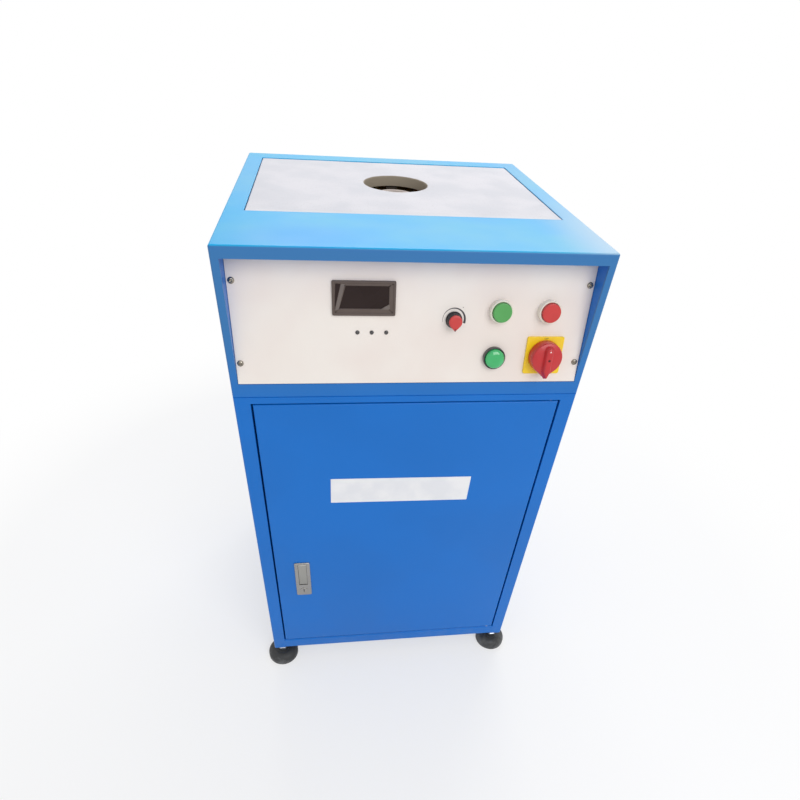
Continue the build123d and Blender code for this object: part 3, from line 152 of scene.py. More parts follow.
def standing(x, y, z=0.0):
    """A local frame that stands upright at a point."""
    return np.column_stack(((1, 0, 0), (0, 1, 0), (0, 0, 1), (x, y, z))).astype(float)


def turned_about(place, angle):
    """A local frame turned about its own third axis."""
    turn = np.array(((cos(angle), -sin(angle), 0), (sin(angle), cos(angle), 0), (0, 0, 1)))
    return np.column_stack((place[:, :3] @ turn, place[:, 3]))


# ---------------------------------------------------------------- surfaces
def circle(count):
    """Equal angles round a full turn."""
    return np.linspace(0, 2 * pi, count, endpoint=False)


def polar(radius, angle, height):
    """Points at a radius and an angle about the local third axis, at a height."""
    return np.stack(np.broadcast_arrays(radius * np.cos(angle), radius * np.sin(angle), height), -1)


def rounded(points, radii, closed=False, steps=5):
    """A broken line with its corners eased: near each corner the line follows a parabola between two points
    that lie a radius away along the sides, or at most 0.48 of the shorter side."""
    points = np.asarray(points, float)
    radii = np.broadcast_to(np.asarray(radii, float), len(points)).copy()
    if not closed:
        radii[[0, -1]] = 0.0
    before = np.roll(points, 1, axis=0) - points
    after = np.roll(points, -1, axis=0) - points
    back = np.linalg.norm(before, axis=1)[:, None]
    ahead = np.linalg.norm(after, axis=1)[:, None]
    size = np.minimum(radii[:, None], np.minimum(back, ahead) * 0.48)
    start = points + before / back * size
    end = points + after / ahead * size
    share = np.linspace(0, 1, steps + 1)[None, :, None]
    curve = start[:, None] * (1 - share) ** 2 + 2 * points[:, None] * share * (1 - share) + end[:, None] * share**2
    if closed:
        return curve.reshape(-1, points.shape[1])
    return np.vstack((points[:1], curve[1:-1].reshape(-1, points.shape[1]), points[-1:]))


def eased(corners, closed=False, steps=5):
    """A broken line in which each corner brings its own easing as a third value."""
    corners = np.array(corners, float)
    return rounded(corners[:, :2], corners[:, 2], closed, steps)


def skin(loops, wrap=False):
    """A closed surface: four-sided faces between each loop and the next. The last loop joins the first if it
    wraps, and otherwise a fan of triangles closes each end onto the middle of its loop. It faces outwards,
    because its faces are turned round if the volume that they enclose comes out negative."""
    rows, count, _ = loops.shape
    row = np.arange(rows if wrap else rows - 1)[:, None] * count
    upper = (row + count) % (rows * count)
    step = np.arange(count)[None, :]
    following = (step + 1) % count
    quads = np.stack((row + step, row + following, upper + following, upper + step), -1).reshape(-1, 4)
    points = loops.reshape(-1, 3)
    fans = np.empty((0, 3), int)
    if not wrap:
        points = np.vstack((points, loops[[0, -1]].mean(axis=1)))
        step, following = step[0], following[0]
        last, middle = (rows - 1) * count, np.full(count, rows * count)
        low = np.column_stack((following, step, middle))
        fans = np.vstack((low, np.column_stack((last + step, last + following, middle + 1))))
    sides = points[np.vstack((quads[:, :3], quads[:, [0, 2, 3]], fans))]
    volume = np.einsum("ij,ij->", sides[:, 0], np.cross(sides[:, 1], sides[:, 2]))
    if volume < 0:
        quads, fans = quads[:, ::-1], fans[:, ::-1]
    return points, quads, fans


def turned(profile, count=64, wrap=False):
    """A surface of revolution about the local third axis: each (radius, height) point becomes a circle."""
    profile = np.asarray(profile, float)
    return skin(polar(profile[:, :1], circle(count), profile[:, 1:]), wrap)


def lathed(corners, count=80, closed=False):
    """A surface of revolution from corners of (radius, height, easing)."""
    return turned(eased(corners, closed), count, closed)


def inward(outline, distance):
    """A closed outline moved inwards by a distance, with mitred corners."""
    side = np.roll(outline, -1, axis=0) - outline
    side /= np.linalg.norm(side, axis=1)[:, None]
    area = np.sum(outline[:, 0] * np.roll(outline[:, 1], -1) - np.roll(outline[:, 0], -1) * outline[:, 1])
    normal = np.column_stack((-side[:, 1], side[:, 0])) * np.sign(area)
    last = np.roll(normal, 1, axis=0)
    mitre = (normal + last) / (1 + np.sum(normal * last, axis=1))[:, None]
    return outline + mitre * distance


def levels(outline, profile):
    """Loops of one outline: at each (inset, height) of the profile it is drawn in and lifted."""
    rows = [np.column_stack((inward(outline, inset), np.full(len(outline), height))) for inset, height in profile]
    return np.stack(rows)


def slab(outline, low, high, edge):
    """A plate of any convex outline whose upper edge is eased."""
    return skin(levels(outline, rounded(((0.0, low), (0.0, high), (2.2 * edge, high)), edge, steps=4)))


def patch(corners, low, high, edge, corner=0.8):
    """A plate of an outline given by its corners, all eased."""
    return slab(rounded(corners, corner, True), low, high, edge)


def rectangle(width, height, corner):
    """The outline of a rectangle with eased corners."""
    return rounded(np.array(((1, 1), (-1, 1), (-1, -1), (1, -1))) * (width / 2, height / 2), corner, True)


def teardrop(radius, reach, count=96):
    """A circle drawn out to a point below: inside the tangents' angle the outline follows the two tangents
    from the tip, and elsewhere it is the circle."""
    angle = circle(count) - pi / 2
    away = np.abs((angle + pi / 2 + pi) % (2 * pi) - pi)
    distance = radius / np.cos(np.maximum(0.0, acos(radius / reach) - away))
    return np.column_stack((distance * np.cos(angle), distance * np.sin(angle)))


def scaled(outline, profile, middle=(0.0, 0.0)):
    """A skin over loops of one outline: at each (share across, share along, height) it shrinks about its middle."""
    middle = np.array(middle)
    rows = [np.column_stack((middle + (outline - middle) * (x, y), np.full(len(outline), h))) for x, y, h in profile]
    return skin(np.stack(rows))


def hexagon(across_flats, corner=0.4):
    """The outline of a six-sided nut."""
    angle = np.arange(6) * pi / 3
    return rounded(np.column_stack((np.cos(angle), np.sin(angle))) * across_flats / 2 / cos(pi / 6), corner, True, 3)


def placed(surface, place):
    """A surface carried from a local frame into the furnace's frame."""
    points, quads, fans = surface
    return points @ place[:, :3].T + place[:, 3], quads, fans


def joined(surfaces):
    """Several surfaces as one, with the later ones' corners numbered on from the earlier ones'."""
    first = np.cumsum([0] + [len(surface[0]) for surface in surfaces[:-1]])
    points = np.vstack([surface[0] for surface in surfaces])
    quads, fans = (np.vstack([surface[k] + start for surface, start in zip(surfaces, first)]) for k in (1, 2))
    return points, quads, fans


def show(name, mesh, material, body, stands_for, smooth):
    """A mesh as one object of the visual model: smooth up to an angle, on its body and with its finish."""
    mesh.shade_smooth()
    mesh.set_sharp_from_angle(angle=radians(smooth))
    mesh.materials.clear()
    mesh.materials.append(material)
    piece = bpy.data.objects.new(name, mesh)
    bpy.context.scene.collection.objects.link(piece)
    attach(piece, body)
    if stands_for:
        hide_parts(*stands_for)
    return piece


def make_piece(name, parts, material, body, stands_for=(), smooth=35):
    """A piece from (surface, local frame) pairs in millimetres."""
    points, quads, fans = joined([placed(*part) for part in parts])
    mesh = bpy.data.meshes.new(name)
    mesh.from_pydata((points * MM).tolist(), [], quads.tolist() + fans.tolist())
    show(name, mesh, material, body, stands_for, smooth)


def softened(node, name, width, material, body):
    """A copy of a CAD node with eased edges: its loose triangles are merged and a narrow bevel is added."""
    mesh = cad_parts[node].data.copy()
    mesh.name = name
    form = bmesh.new()
    form.from_mesh(mesh)
    bmesh.ops.remove_doubles(form, verts=form.verts, dist=1e-6)
    bmesh.ops.dissolve_limit(form, angle_limit=radians(0.6), verts=form.verts, edges=form.edges)
    bmesh.ops.recalc_face_normals(form, faces=form.faces)
    form.to_mesh(mesh)
    form.free()
    bevel = show(name, mesh, material, body, [node], 30).modifiers.new("eased", "BEVEL")
    bevel.width = width * MM
    bevel.segments = 2
    bevel.limit_method = "ANGLE"
    bevel.angle_limit = radians(35)


def lettering(words, height):
    """Flat letters as a surface: a text curve made a mesh, centred on the local origin."""
    curve = bpy.data.curves.new(words, "FONT")
    curve.body = words
    curve.size = height
    curve.align_x = curve.align_y = "CENTER"
    curve.extrude = 0.03
    holder = bpy.data.objects.new(words, curve)
    mesh = bpy.data.meshes.new_from_object(holder)
    mesh.calc_loop_triangles()
    points = np.empty(len(mesh.vertices) * 3)
    mesh.vertices.foreach_get("co", points)
    fans = np.empty(len(mesh.loop_triangles) * 3, np.int32)
    mesh.loop_triangles.foreach_get("vertices", fans)
    bpy.data.objects.remove(holder)
    bpy.data.curves.remove(curve)
    bpy.data.meshes.remove(mesh)
    return points.reshape(-1, 3), np.empty((0, 4), int), fans.reshape(-1, 3)


# ---------------------------------------------------------------- shader nodes
def add(tree, kind, inputs=None, **settings):
    """One shader node with its settings, and its inputs linked or set."""
    node = tree.nodes.new("ShaderNode" + kind)
    for key, value in settings.items():
        setattr(node, key, value)
    for key, value in (inputs or {}).items():
        if isinstance(value, bpy.types.NodeSocket):
            tree.links.new(value, node.inputs[key])
        else:
            node.inputs[key].default_value = value
    return node


def opaque(colour):
    """A colour with its fourth value. A socket stays as it is."""
    return colour if isinstance(colour, bpy.types.NodeSocket) else (*tuple(colour)[:3], 1.0)


def blend(tree, factor, first, second):
    """A mix of two colours."""
    return add(tree, "Mix", {0: factor, 6: opaque(first), 7: opaque(second)}, data_type="RGBA").outputs[2]


def span(tree, value, low, high, to_low=0.0, to_high=1.0):
    """A value carried smoothly from one range to another."""
    inputs = {"Value": value, "From Min": low, "From Max": high, "To Min": to_low, "To Max": to_high}
    return add(tree, "MapRange", inputs, interpolation_type="SMOOTHSTEP").outputs[0]


def reckon(tree, operation, first, second):
    """One calculation with two values."""
    return add(tree, "Math", {0: first, 1: second}, operation=operation).outputs[0]


def times(tree, first, second):
    """The product of two values."""
    return reckon(tree, "MULTIPLY", first, second)


def plus(tree, first, second):
    """The sum of two values."""
    return reckon(tree, "ADD", first, second)


def here(tree):
    """The object's own coordinates."""
    return add(tree, "TexCoord").outputs["Object"]


def along(tree, axis):
    """One of the object's own coordinates."""
    return add(tree, "SeparateXYZ", {0: here(tree)}).outputs[axis]


def moved(tree, **inputs):
    """The object's own coordinates, shifted and stretched."""
    return add(tree, "Mapping", {"Vector": here(tree), **inputs}).outputs[0]


def distance(tree, vector):
    """How far a point lies from the origin."""
    return add(tree, "VectorMath", {0: vector}, operation="LENGTH").outputs["Value"]


def noise(tree, vector, scale, detail, roughness=0.5):
    """A smooth random value that varies about 0.5 from place to place."""
    inputs = {"Vector": vector, "Scale": scale, "Detail": detail, "Roughness": roughness}
    return add(tree, "TexNoise", inputs).outputs[0]


def clouding(tree, given):
    """Soft patches of a second colour, as uneven spraying or heat leaves them; on the deck they are painted sheen."""
    mask = span(tree, noise(tree, here(tree), given["Scale"], 3), 0.35, 0.65)
    share = times(tree, mask, given["Amount"])
    return {"Colour": blend(tree, share, given["Colour"], given["Tint"]), "Mask": mask}


def fine_grain(tree, given):
    """A fine even grain, stretched along an axis where the stretch says so: the skin of sprayed paint, moulded
    plastic, cast or brushed metal."""
    return {"Height": noise(tree, moved(tree, Scale=given["Stretch"]), given["Scale"], 2)}


def grime(tree, given):
    """Worn and dirty patches with ragged edges: a broad noise cut by a fine one."""
    broad = noise(tree, here(tree), given["Scale"], 6, 0.62)
    fine = noise(tree, here(tree), times(tree, given["Scale"], 9), 4)
    both = plus(tree, times(tree, broad, 0.75), times(tree, fine, 0.25))
    edge = reckon(tree, "SUBTRACT", 0.78, times(tree, given["Coverage"], 0.5))
    return {"Mask": span(tree, both, edge, plus(tree, edge, 0.12))}


def speckle(tree, given):
    """Small dots scattered over the surface, such as grit in refractory or flakes in board."""
    cells = add(tree, "TexVoronoi", {"Vector": here(tree), "Scale": given["Scale"]}).outputs["Distance"]
    return {"Mask": span(tree, cells, given["Size"], plus(tree, given["Size"], 0.08), 1, 0)}


def settled_dust(tree, given):
    """Dust that settles low on the cabinet: it fades out upwards with a ragged edge."""
    ragged = times(tree, reckon(tree, "SUBTRACT", noise(tree, here(tree), 34, 5, 0.6), 0.5), 0.16)
    return {"Mask": span(tree, plus(tree, along(tree, "Z"), ragged), given["Low"], given["High"], 1, 0)}


# Each effect's inputs with their defaults. A default of one, three or four values tells what kind it is.
EFFECTS = {
    clouding: {"Colour": (1, 1, 1, 1), "Tint": (1, 1, 1, 1), "Scale": 10, "Amount": 0.5},
    fine_grain: {"Scale": 500, "Stretch": (1, 1, 1)},
    grime: {"Scale": 12, "Coverage": 0.4},
    speckle: {"Scale": 400, "Size": 0.2},
    settled_dust: {"Low": 0.05, "High": 0.2},
}
KINDS = {1: "NodeSocketFloat", 3: "NodeSocketVector", 4: "NodeSocketColor"}


def make_effects():
    """Each shared effect as a node group with named inputs and outputs, built once."""
    for effect, inputs in EFFECTS.items():
        tree = bpy.data.node_groups.new(effect.__name__, "ShaderNodeTree")
        for label, default in inputs.items():
            socket = tree.interface.new_socket(name=label, in_out="INPUT", socket_type=KINDS[np.size(default)])
            socket.default_value = default
        results = effect(tree, tree.nodes.new("NodeGroupInput").outputs)
        for label in results:
            tree.interface.new_socket(name=label, in_out="OUTPUT", socket_type=KINDS[4 if label == "Colour" else 1])
        result = tree.nodes.new("NodeGroupOutput")
        for label, value in results.items():
            tree.links.new(value, result.inputs[label])


def use(tree, effect, **inputs):
    """A shared effect placed in a material with that material's own values."""
    return add(tree, "Group", inputs, node_tree=bpy.data.node_groups[effect.__name__]).outputs


# ---------------------------------------------------------------- finishes
def finish(
    name, colour, rough, metal=0, tint=None, cloud=(10, 0.5), grain=(600, 0.02), stretch=(1, 1, 1),
    dirt=None, spots=None, dust=None, uneven=0.06, **shader,
):
    """A finish of one principled shader: a clouded colour with dirt, spots or settled dust over it, a grain for
    its bump and an uneven gloss. cloud is (scale, amount), grain (scale, depth in mm), dirt (colour, scale,
    coverage, strength), spots (colour, scale, size) and dust (colour, low, high, strength)."""
    material = bpy.data.materials.new(name)
    material.use_nodes = True
    tree = material.node_tree
    sockets = tree.nodes["Principled BSDF"].inputs
    tint = tint or [min(1.0, value * 1.25 + 0.01) for value in tuple(colour)[:3]]
    clouds = use(tree, clouding, Colour=opaque(colour), Tint=opaque(tint), Scale=cloud[0], Amount=cloud[1])
    surface = clouds["Colour"]
    gloss = span(tree, clouds["Mask"], 0, 1, max(0.02, rough - uneven), min(1.0, rough + uneven))
    if spots:
        surface = blend(tree, use(tree, speckle, Scale=spots[1], Size=spots[2])["Mask"], surface, spots[0])
    if dirt:
        soiled = times(tree, use(tree, grime, Scale=dirt[1], Coverage=dirt[2])["Mask"], dirt[3])
        surface = blend(tree, soiled, surface, dirt[0])
        gloss = plus(tree, gloss, times(tree, soiled, 0.25))
    if dust:
        settled = times(tree, use(tree, settled_dust, Low=dust[1], High=dust[2])["Mask"], dust[3])
        surface = blend(tree, settled, surface, dust[0])
    height = use(tree, fine_grain, Scale=grain[0], Stretch=stretch)["Height"]
    bump = add(tree, "Bump", {"Height": height, "Distance": grain[1] * MM, "Strength": 1})
    for label, value in (("Base Color", surface), ("Normal", bump.outputs[0]), ("Roughness", gloss)):
        tree.links.new(value, sockets[label])
    sockets["Metallic"].default_value = metal
    for label, value in shader.items():
        sockets[label.replace("_", " ")].default_value = value
    return material


def overlay(material, mask, colour):
    """A second colour laid over a finish where a mask is 1."""
    tree = material.node_tree
    base = tree.nodes["Principled BSDF"].inputs["Base Color"]
    tree.links.new(blend(tree, mask, base.links[0].from_socket, colour), base)


def cover(material, *nodes):
    """A finish on CAD nodes that keep their own shape."""
    for node in nodes:
        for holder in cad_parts[node].material_slots:
            holder.material = material


DUST = tone(176, 178, 178)


def sprayed_steel(name, colour):
    """Powder-coated sheet steel: fine orange peel, soft clouding and a little dust near the floor."""
    tint = [value * 1.12 + 0.003 for value in colour]
    return finish(
        name, colour, 0.36, 0, tint, (4.5, 0.5), (420, 0.02), dirt=([value * 0.8 for value in colour], 9, 0.25, 0.25),
        dust=(DUST, 0.03, 0.065, 0.035), Coat_Weight=0.05, Coat_Roughness=0.25, Specular_IOR_Level=0.26,
    )


def casing_coat(colours):
    """The upper casing's powder coat. Round the control panel it is duller. The deck's top is painted lighter as
    painted sheen in uneven patches, with a painted highlight in its right front corner and less at its front left."""
    material = sprayed_steel("casing_coat", colours.cabinet)
    tree = material.node_tree
    x, y, z = (along(tree, axis) for axis in "XYZ")
    forward = span(tree, y, (FRONT + 1.5) * MM, (FRONT + 4.0) * MM, 1, 0)
    overlay(material, times(tree, span(tree, z, 0.6, 0.76), forward), colours.rail)
    # Painted sheen on the deck's top: lighter than the walls, in uneven patches, with a deeper patch of less sheen at
    # the front left.
    deep = [value * share for value, share in zip(colours.deck, (0.0, 0.9, 1.08))]
    deck = use(tree, clouding, Colour=opaque(colours.deck), Tint=opaque(deep), Scale=7, Amount=1)["Colour"]
    nearby = moved(tree, Location=(0.135, 0.328, -TOP * MM), Scale=(1, 1.6, 1))
    deck = blend(tree, span(tree, distance(tree, nearby), 0.02, 0.11, 0.75, 0), deck, tone(0, 158, 232))
    # Painted highlight: the deck's right front corner is painted paler.
    highlighted = times(tree, span(tree, x, 0.16, 0.25), span(tree, y, 0.1, -0.235, 0.25, 1))
    deck = blend(tree, highlighted, deck, tone(168, 200, 224))
    overlay(material, span(tree, z, (TOP - 1.9) * MM, (TOP - 0.5) * MM), deck)
    return material


def zinc(name):
    """Bright zinc plate with faint spangle."""
    return finish(name, tone(186, 190, 194), 0.32, 1, tone(150, 154, 160), (160, 0.6), (900, 0.008))


def moulded(name, colour, rough=0.4, tint=None, **more):
    """Moulded plastic with a faint skin."""
    return finish(name, colour, rough, 0, tint, (60, 0.18), (1500, 0.006), **more)


# ---------------------------------------------------------------- stage
CAMERA_PLACE = (-0.11202, -0.86341, 1.05477)
CAMERA_TURN = (49.2683, -3.4017, -6.5425)
CAMERA_LENS = 24.237
CAMERA_SHIFT = (0.00027, 0.09)
FLOOR_RADIUS = 14.0
FLOOR_SINK = 0.0002
NEAR_WHITE = 0.55
WORLD_LIGHT = 0.62
# Each lamp: where it hangs, the point that it faces, its size and its power.
LAMPS = {
    "key": ((0.9, -2.5, 2.5), (0.0, 0.0, 0.45), (2.0, 2.0), 37.5),
    "sheen": ((0.55, 2.3, 2.75), (0.0, 0.0, 0.7), (2.6, 1.4), 46.0),
}


class FURNACE_OT_stage(bpy.types.Operator):
    """Lay the pale floor, hang the soft lamps and set the camera"""

    bl_idname = "furnace.stage"
    bl_label = "Stage"

    def execute(self, context):
        self.lay_floor(context)
        self.fill_world(context)
        for name, lamp in LAMPS.items():
            self.hang_lamp(context, name, *lamp)
        self.set_camera(context)
        context.scene.view_settings.view_transform = "Standard"
        return DONE

    def whiten(self, tree, lit, kind, share, surface):
        """White laid by a share over what is lit, where a ray comes from the camera, a mirror or glass, so that
        they show a white background."""
        path = add(tree, "LightPath").outputs
        mirrored = reckon(tree, "MAXIMUM", path["Is Glossy Ray"], path["Is Transmission Ray"])
        seen = reckon(tree, "MAXIMUM", path["Is Camera Ray"], mirrored)
        white = add(tree, kind, {"Color": (1, 1, 1, 1), "Strength": 1})
        mixed = add(tree, "MixShader", {0: times(tree, share, seen), 1: lit.outputs[0], 2: white.outputs[0]})
        tree.links.new(mixed.outputs[0], surface.inputs["Surface"])

    def lay_floor(self, context):
        """A round floor: shaded near the furnace, and plain white to the camera further out."""
        angle = circle(96)
        points = np.column_stack((np.cos(angle), np.sin(angle), 0 * angle)) * FLOOR_RADIUS
        mesh = bpy.data.meshes.new("floor")
        mesh.from_pydata((points - (0, 0, FLOOR_SINK)).tolist(), [], [list(range(len(points)))])
        floor = bpy.data.objects.new("floor", mesh)
        context.scene.collection.objects.link(floor)
        material = bpy.data.materials.new("floor")
        material.use_nodes = True
        tree = material.node_tree
        matt = tree.nodes["Principled BSDF"]
        matt.inputs["Base Color"].default_value = (0.93, 0.93, 0.93, 1)
        matt.inputs["Roughness"].default_value = 0.9
        matt.inputs["Specular IOR Level"].default_value = 0.0
        share = reckon(tree, "MAXIMUM", span(tree, distance(tree, here(tree)), 0.45, 1.3), NEAR_WHITE)
        self.whiten(tree, matt, "Emission", share, tree.nodes["Material Output"])
        mesh.materials.append(material)

    def fill_world(self, context):
        """An even pale world that looks white."""
        world = bpy.data.worlds.new("studio")
        world.use_nodes = True
        tree = world.node_tree
        light = tree.nodes["Background"]
        light.inputs["Color"].default_value = (1, 1, 1, 1)
        light.inputs["Strength"].default_value = WORLD_LIGHT
        self.whiten(tree, light, "Background", 1, tree.nodes["World Output"])
        context.scene.world = world

    def hang_lamp(self, context, name, place, target, size, power):
        """A soft rectangular lamp that faces a point."""
        lamp = bpy.data.lights.new(name, "AREA")
        lamp.shape = "RECTANGLE"
        lamp.size, lamp.size_y = size
        lamp.energy = power
        holder = bpy.data.objects.new(name, lamp)
        holder.location = place
        towards = np.array(target) - np.array(place)
        pitch = acos(-towards[2] / np.linalg.norm(towards))
        holder.rotation_euler = (pitch, 0.0, np.arctan2(-towards[0], towards[1]))
        context.scene.collection.objects.link(holder)

    def set_camera(self, context):
        """The camera where the photographer stood."""
        camera = bpy.data.cameras.new("camera")
        camera.lens = CAMERA_LENS
        camera.sensor_width = 36.0
        camera.shift_x, camera.shift_y = CAMERA_SHIFT
        holder = bpy.data.objects.new("camera", camera)
        holder.location = CAMERA_PLACE
        holder.rotation_euler = Euler([radians(turn) for turn in CAMERA_TURN])
        context.scene.collection.objects.link(holder)
        context.scene.camera = holder


# ---------------------------------------------------------------- cabinet
class FURNACE_OT_cabinet(bpy.types.Operator):
    """Coat the cabinet's sheets and the door"""

    bl_idname = "furnace.cabinet"
    bl_label = "Cabinet"

    def execute(self, context):
        colours = context.scene.furnace_colours
        cabinet = sprayed_steel("cabinet_coat", colours.cabinet)
        cover(cabinet, "left_side_panel", "right_side_panel", "floor_pan", "rear_panel", "door_panel", "middle_shelf")
        cover(casing_coat(colours), "upper_casing")
        cover(zinc("hinge_zinc"), "hinge_pins", "board_ledge")
        plate = finish("plate_zinc", tone(176, 180, 184), 0.42, 1, tone(158, 162, 168), (24, 0.5), (600, 0.01))
        cover(plate, "equipment_plate")
        return DONE


class FURNACE_OT_door_plate(bpy.types.Operator):
    """Put the blank white plate on the door"""

    bl_idname = "furnace.door_plate"
    bl_label = "Door plate"

    thickness = 0.35
    middle_x = -4.0
    lean = radians(-0.9)

    def execute(self, context):
        sizes = context.scene.furnace_sizes
        outline = rectangle(sizes.plate_width / MM, sizes.plate_height / MM, 0.8)
        place = turned_about(on_front(self.middle_x, sizes.plate_middle / MM), self.lean)
        vinyl = finish("plate_vinyl", tone(238, 238, 240), 0.42, 0, tone(222, 224, 230), (26, 0.6), (240, 0.02))
        make_piece("door_plate", [(slab(outline, 0.02, self.thickness, 0.15), place)], vinyl, "door")
        return DONE


def pan_head(radius=4.0, height=2.6, reach=2.1, half=0.42, depth=1.5):
    """A low dome on a short wall, with a cross pressed into it: the recess is where a point lies within half the
    blade's width of either axis and within its reach, shallower outwards."""
    wall = ((radius * 0.98, 0.0), (radius, height * 0.45), (radius * 0.55, height), (0.12, height))
    wall = rounded(wall, 1.6, steps=8)
    flat = wall[-2] + (wall[-1] - wall[-2]) * np.linspace(0, 1, 16)[1:, None]
    profile = np.vstack((wall[:-1], flat))
    far, high = profile[:, :1], profile[:, 1:]
    angle = circle(96)
    across = np.minimum(np.abs(far * np.cos(angle)), np.abs(far * np.sin(angle)))
    near = np.clip((half - across) / 0.16 + 0.5, 0, 1)
    inside = np.clip((reach - far) / 0.2 + 0.5, 0, 1)
    sink = np.clip(depth * (1 - 0.5 * far / reach), 0, None)
    return skin(polar(far, angle, high - near * inside * sink))


def hexagon_head(size=7.0, height=2.6):
    """A six-sided head above a thin washer face."""
    head = skin(levels(hexagon(size), rounded(((0, 0.5), (0, 2.1), (0.7, height)), 0.2, steps=2)))
    return joined((head, turned(((5.2, 0.0), (5.2, 0.5)), 32)))


class FURNACE_OT_screws(bpy.types.Operator):
    """Make the panel's cross-recess screws and the rear panel's hexagon screws"""

    bl_idname = "furnace.screws"
    bl_label = "Screws"

    def execute(self, context):
        seats = [on_back(u, z) for u, z in REAR_SCREWS]
        reach = (-FAN_SCREW_REACH, FAN_SCREW_REACH)
        seats += [on_back(u, FAN_HEIGHT + v, GUARD_THICKNESS) for u in reach for v in reach]
        parts = [(pan_head(), turned_about(on_panel(u, v), 0.7 * turn)) for turn, (u, v) in enumerate(PANEL_SCREWS)]
        parts += [(hexagon_head(), turned_about(seat, 0.5 * turn)) for turn, seat in enumerate(seats)]
        nickel = finish("screw_nickel", tone(158, 152, 142), 0.26, 1, tone(112, 104, 92), (420, 0.6), (1400, 0.01))
        make_piece("screw_heads", parts, nickel, "cabinet", ["cover_screws"])
        return DONE


# ---------------------------------------------------------------- control panel
def printed_scale(radius=14.6, start=radians(192), end=radians(-18)):
    """A printed crescent: round an arc, a flat section whose width grows along it."""
    share = np.linspace(0, 1, 64)
    angle = start + (end - start) * share
    half = 0.18 + 1.35 * share**1.4
    rows = radius + np.stack((-half, half, half, -half), -1)
    return skin(polar(rows, angle[:, None], np.array((0.01, 0.01, 0.05, 0.05))))


class FURNACE_OT_panel(bpy.types.Operator):
    """Enamel the control panel and print the knob's scale"""

    bl_idname = "furnace.panel"
    bl_label = "Control panel"

    def execute(self, context):
        enamel = finish(
            "panel_enamel", context.scene.furnace_colours.panel, 0.42, 0, tone(234, 222, 215), (7, 0.8),
            (700, 0.01), dirt=(tone(218, 212, 200), 5, 0.3, 0.4), Coat_Weight=0.12,
        )
        cover(enamel, "control_panel")
        ink = finish("scale_ink", tone(58, 54, 58), 0.5)
        dot = turned(((0.5, 0.01), (0.5, 0.05)), 24)
        u, v = KNOB_PLACE
        marks = [(printed_scale(), on_panel(u, v)), (dot, on_panel(u + 11.0, v + 15.6))]
        make_piece("power_scale", marks, ink, "cabinet")
        return DONE


class FURNACE_OT_meter(bpy.types.Operator):
    """Make the panel meter with its sunk screen"""

    bl_idname = "furnace.meter"
    bl_label = "Panel meter"

    size = (79.0, 42.2)
    proud = 3.2
    case_depth = 60.0
    case_inset = 1.8
    face = proud - 0.9
    floor = proud - 1.9

    def execute(self, context):
        grey = moulded("meter_grey", tone(90, 78, 72), 0.46, tone(108, 96, 92), Specular_IOR_Level=0.3)
        glass = finish(
            "meter_glass", tone(44, 33, 31), 0.3, cloud=(12, 0.3), grain=(300, 0.004), Specular_IOR_Level=0.12
        )
        film_highlight = moulded("meter_film", tone(104, 94, 89), 0.34)
        place, front = on_panel(*METER_PLACE), self.proud
        make_piece("meter_bezel", [(self.bezel(), place)], grey, "cabinet", ["meter_housing"])
        screen = slab(inward(self.screen_outline(), 0.15), front - 2.3, self.floor, 0.1)
        wedge = patch(((-35.0, 17.2), (-28.6, 17.2), (-36.4, -14.2)), 1.8, front - 0.75, 0.1)
        parts = [(screen, place), (wedge, place)]
        make_piece("meter_screen", parts, glass, "cabinet", ["meter_window"])
        # A raised fold of protective foil and a cut foil corner; their lighter grey also paints the highlight along
        # them.
        fold_highlight = patch(((-28.2, 17.4), (-23.4, 17.4), (-31.6, -14.0), (-36.0, -14.4)), 1.8, front - 0.5, 0.25)
        corner = patch(((20.0, -13.2), (32.2, -13.2), (32.2, -6.4)), 1.2, front - 0.8, 0.2)
        make_piece("meter_film", [(fold_highlight, place), (corner, place)], film_highlight, "cabinet")
        return DONE

    def screen_outline(self):
        """The screen's outline: a rectangle whose left side leans."""
        return rounded(((31.5, 15.4), (-22.8, 15.4), (-31.2, -12.8), (31.5, -12.8)), 1.6, True)

    def bezel(self):
        """Loops from the back of the case to the floor of the screen's recess: the case, the bezel's eased
        outer wall, the sunk face, then the wall of the recess, whose outline has as many points."""
        face, floor = self.face, self.floor - 0.5
        profile = [(self.case_inset, -self.case_depth), (self.case_inset, 0.0)]
        profile += rounded(((0, 0), (0, self.proud), (2.6, self.proud), (3.5, face)), 1.0, steps=4).tolist()
        sunk = levels(self.screen_outline(), ((0.0, face), (0.5, face - 0.5), (0.5, floor)))
        return skin(np.vstack((levels(rectangle(*self.size, 2.0), profile), sunk)))


class FURNACE_OT_indicators(bpy.types.Operator):
    """Make the three small unlit indicator lamps"""

    bl_idname = "furnace.indicators"
    bl_label = "Indicators"

    def execute(self, context):
        dome = lathed(((2.5, -9.0, 0), (2.5, 0.9, 0.8), (1.7, 1.7, 0.8), (0.1, 1.8, 0)), 40)
        lamps = [(dome, on_panel(*place)) for place in INDICATOR_PLACES]
        dark = moulded("indicator_dark", tone(34, 30, 32), 0.16, Coat_Weight=1)
        make_piece("indicator_lamps_domed", lamps, dark, "cabinet", ["indicator_lamps"])
        return DONE


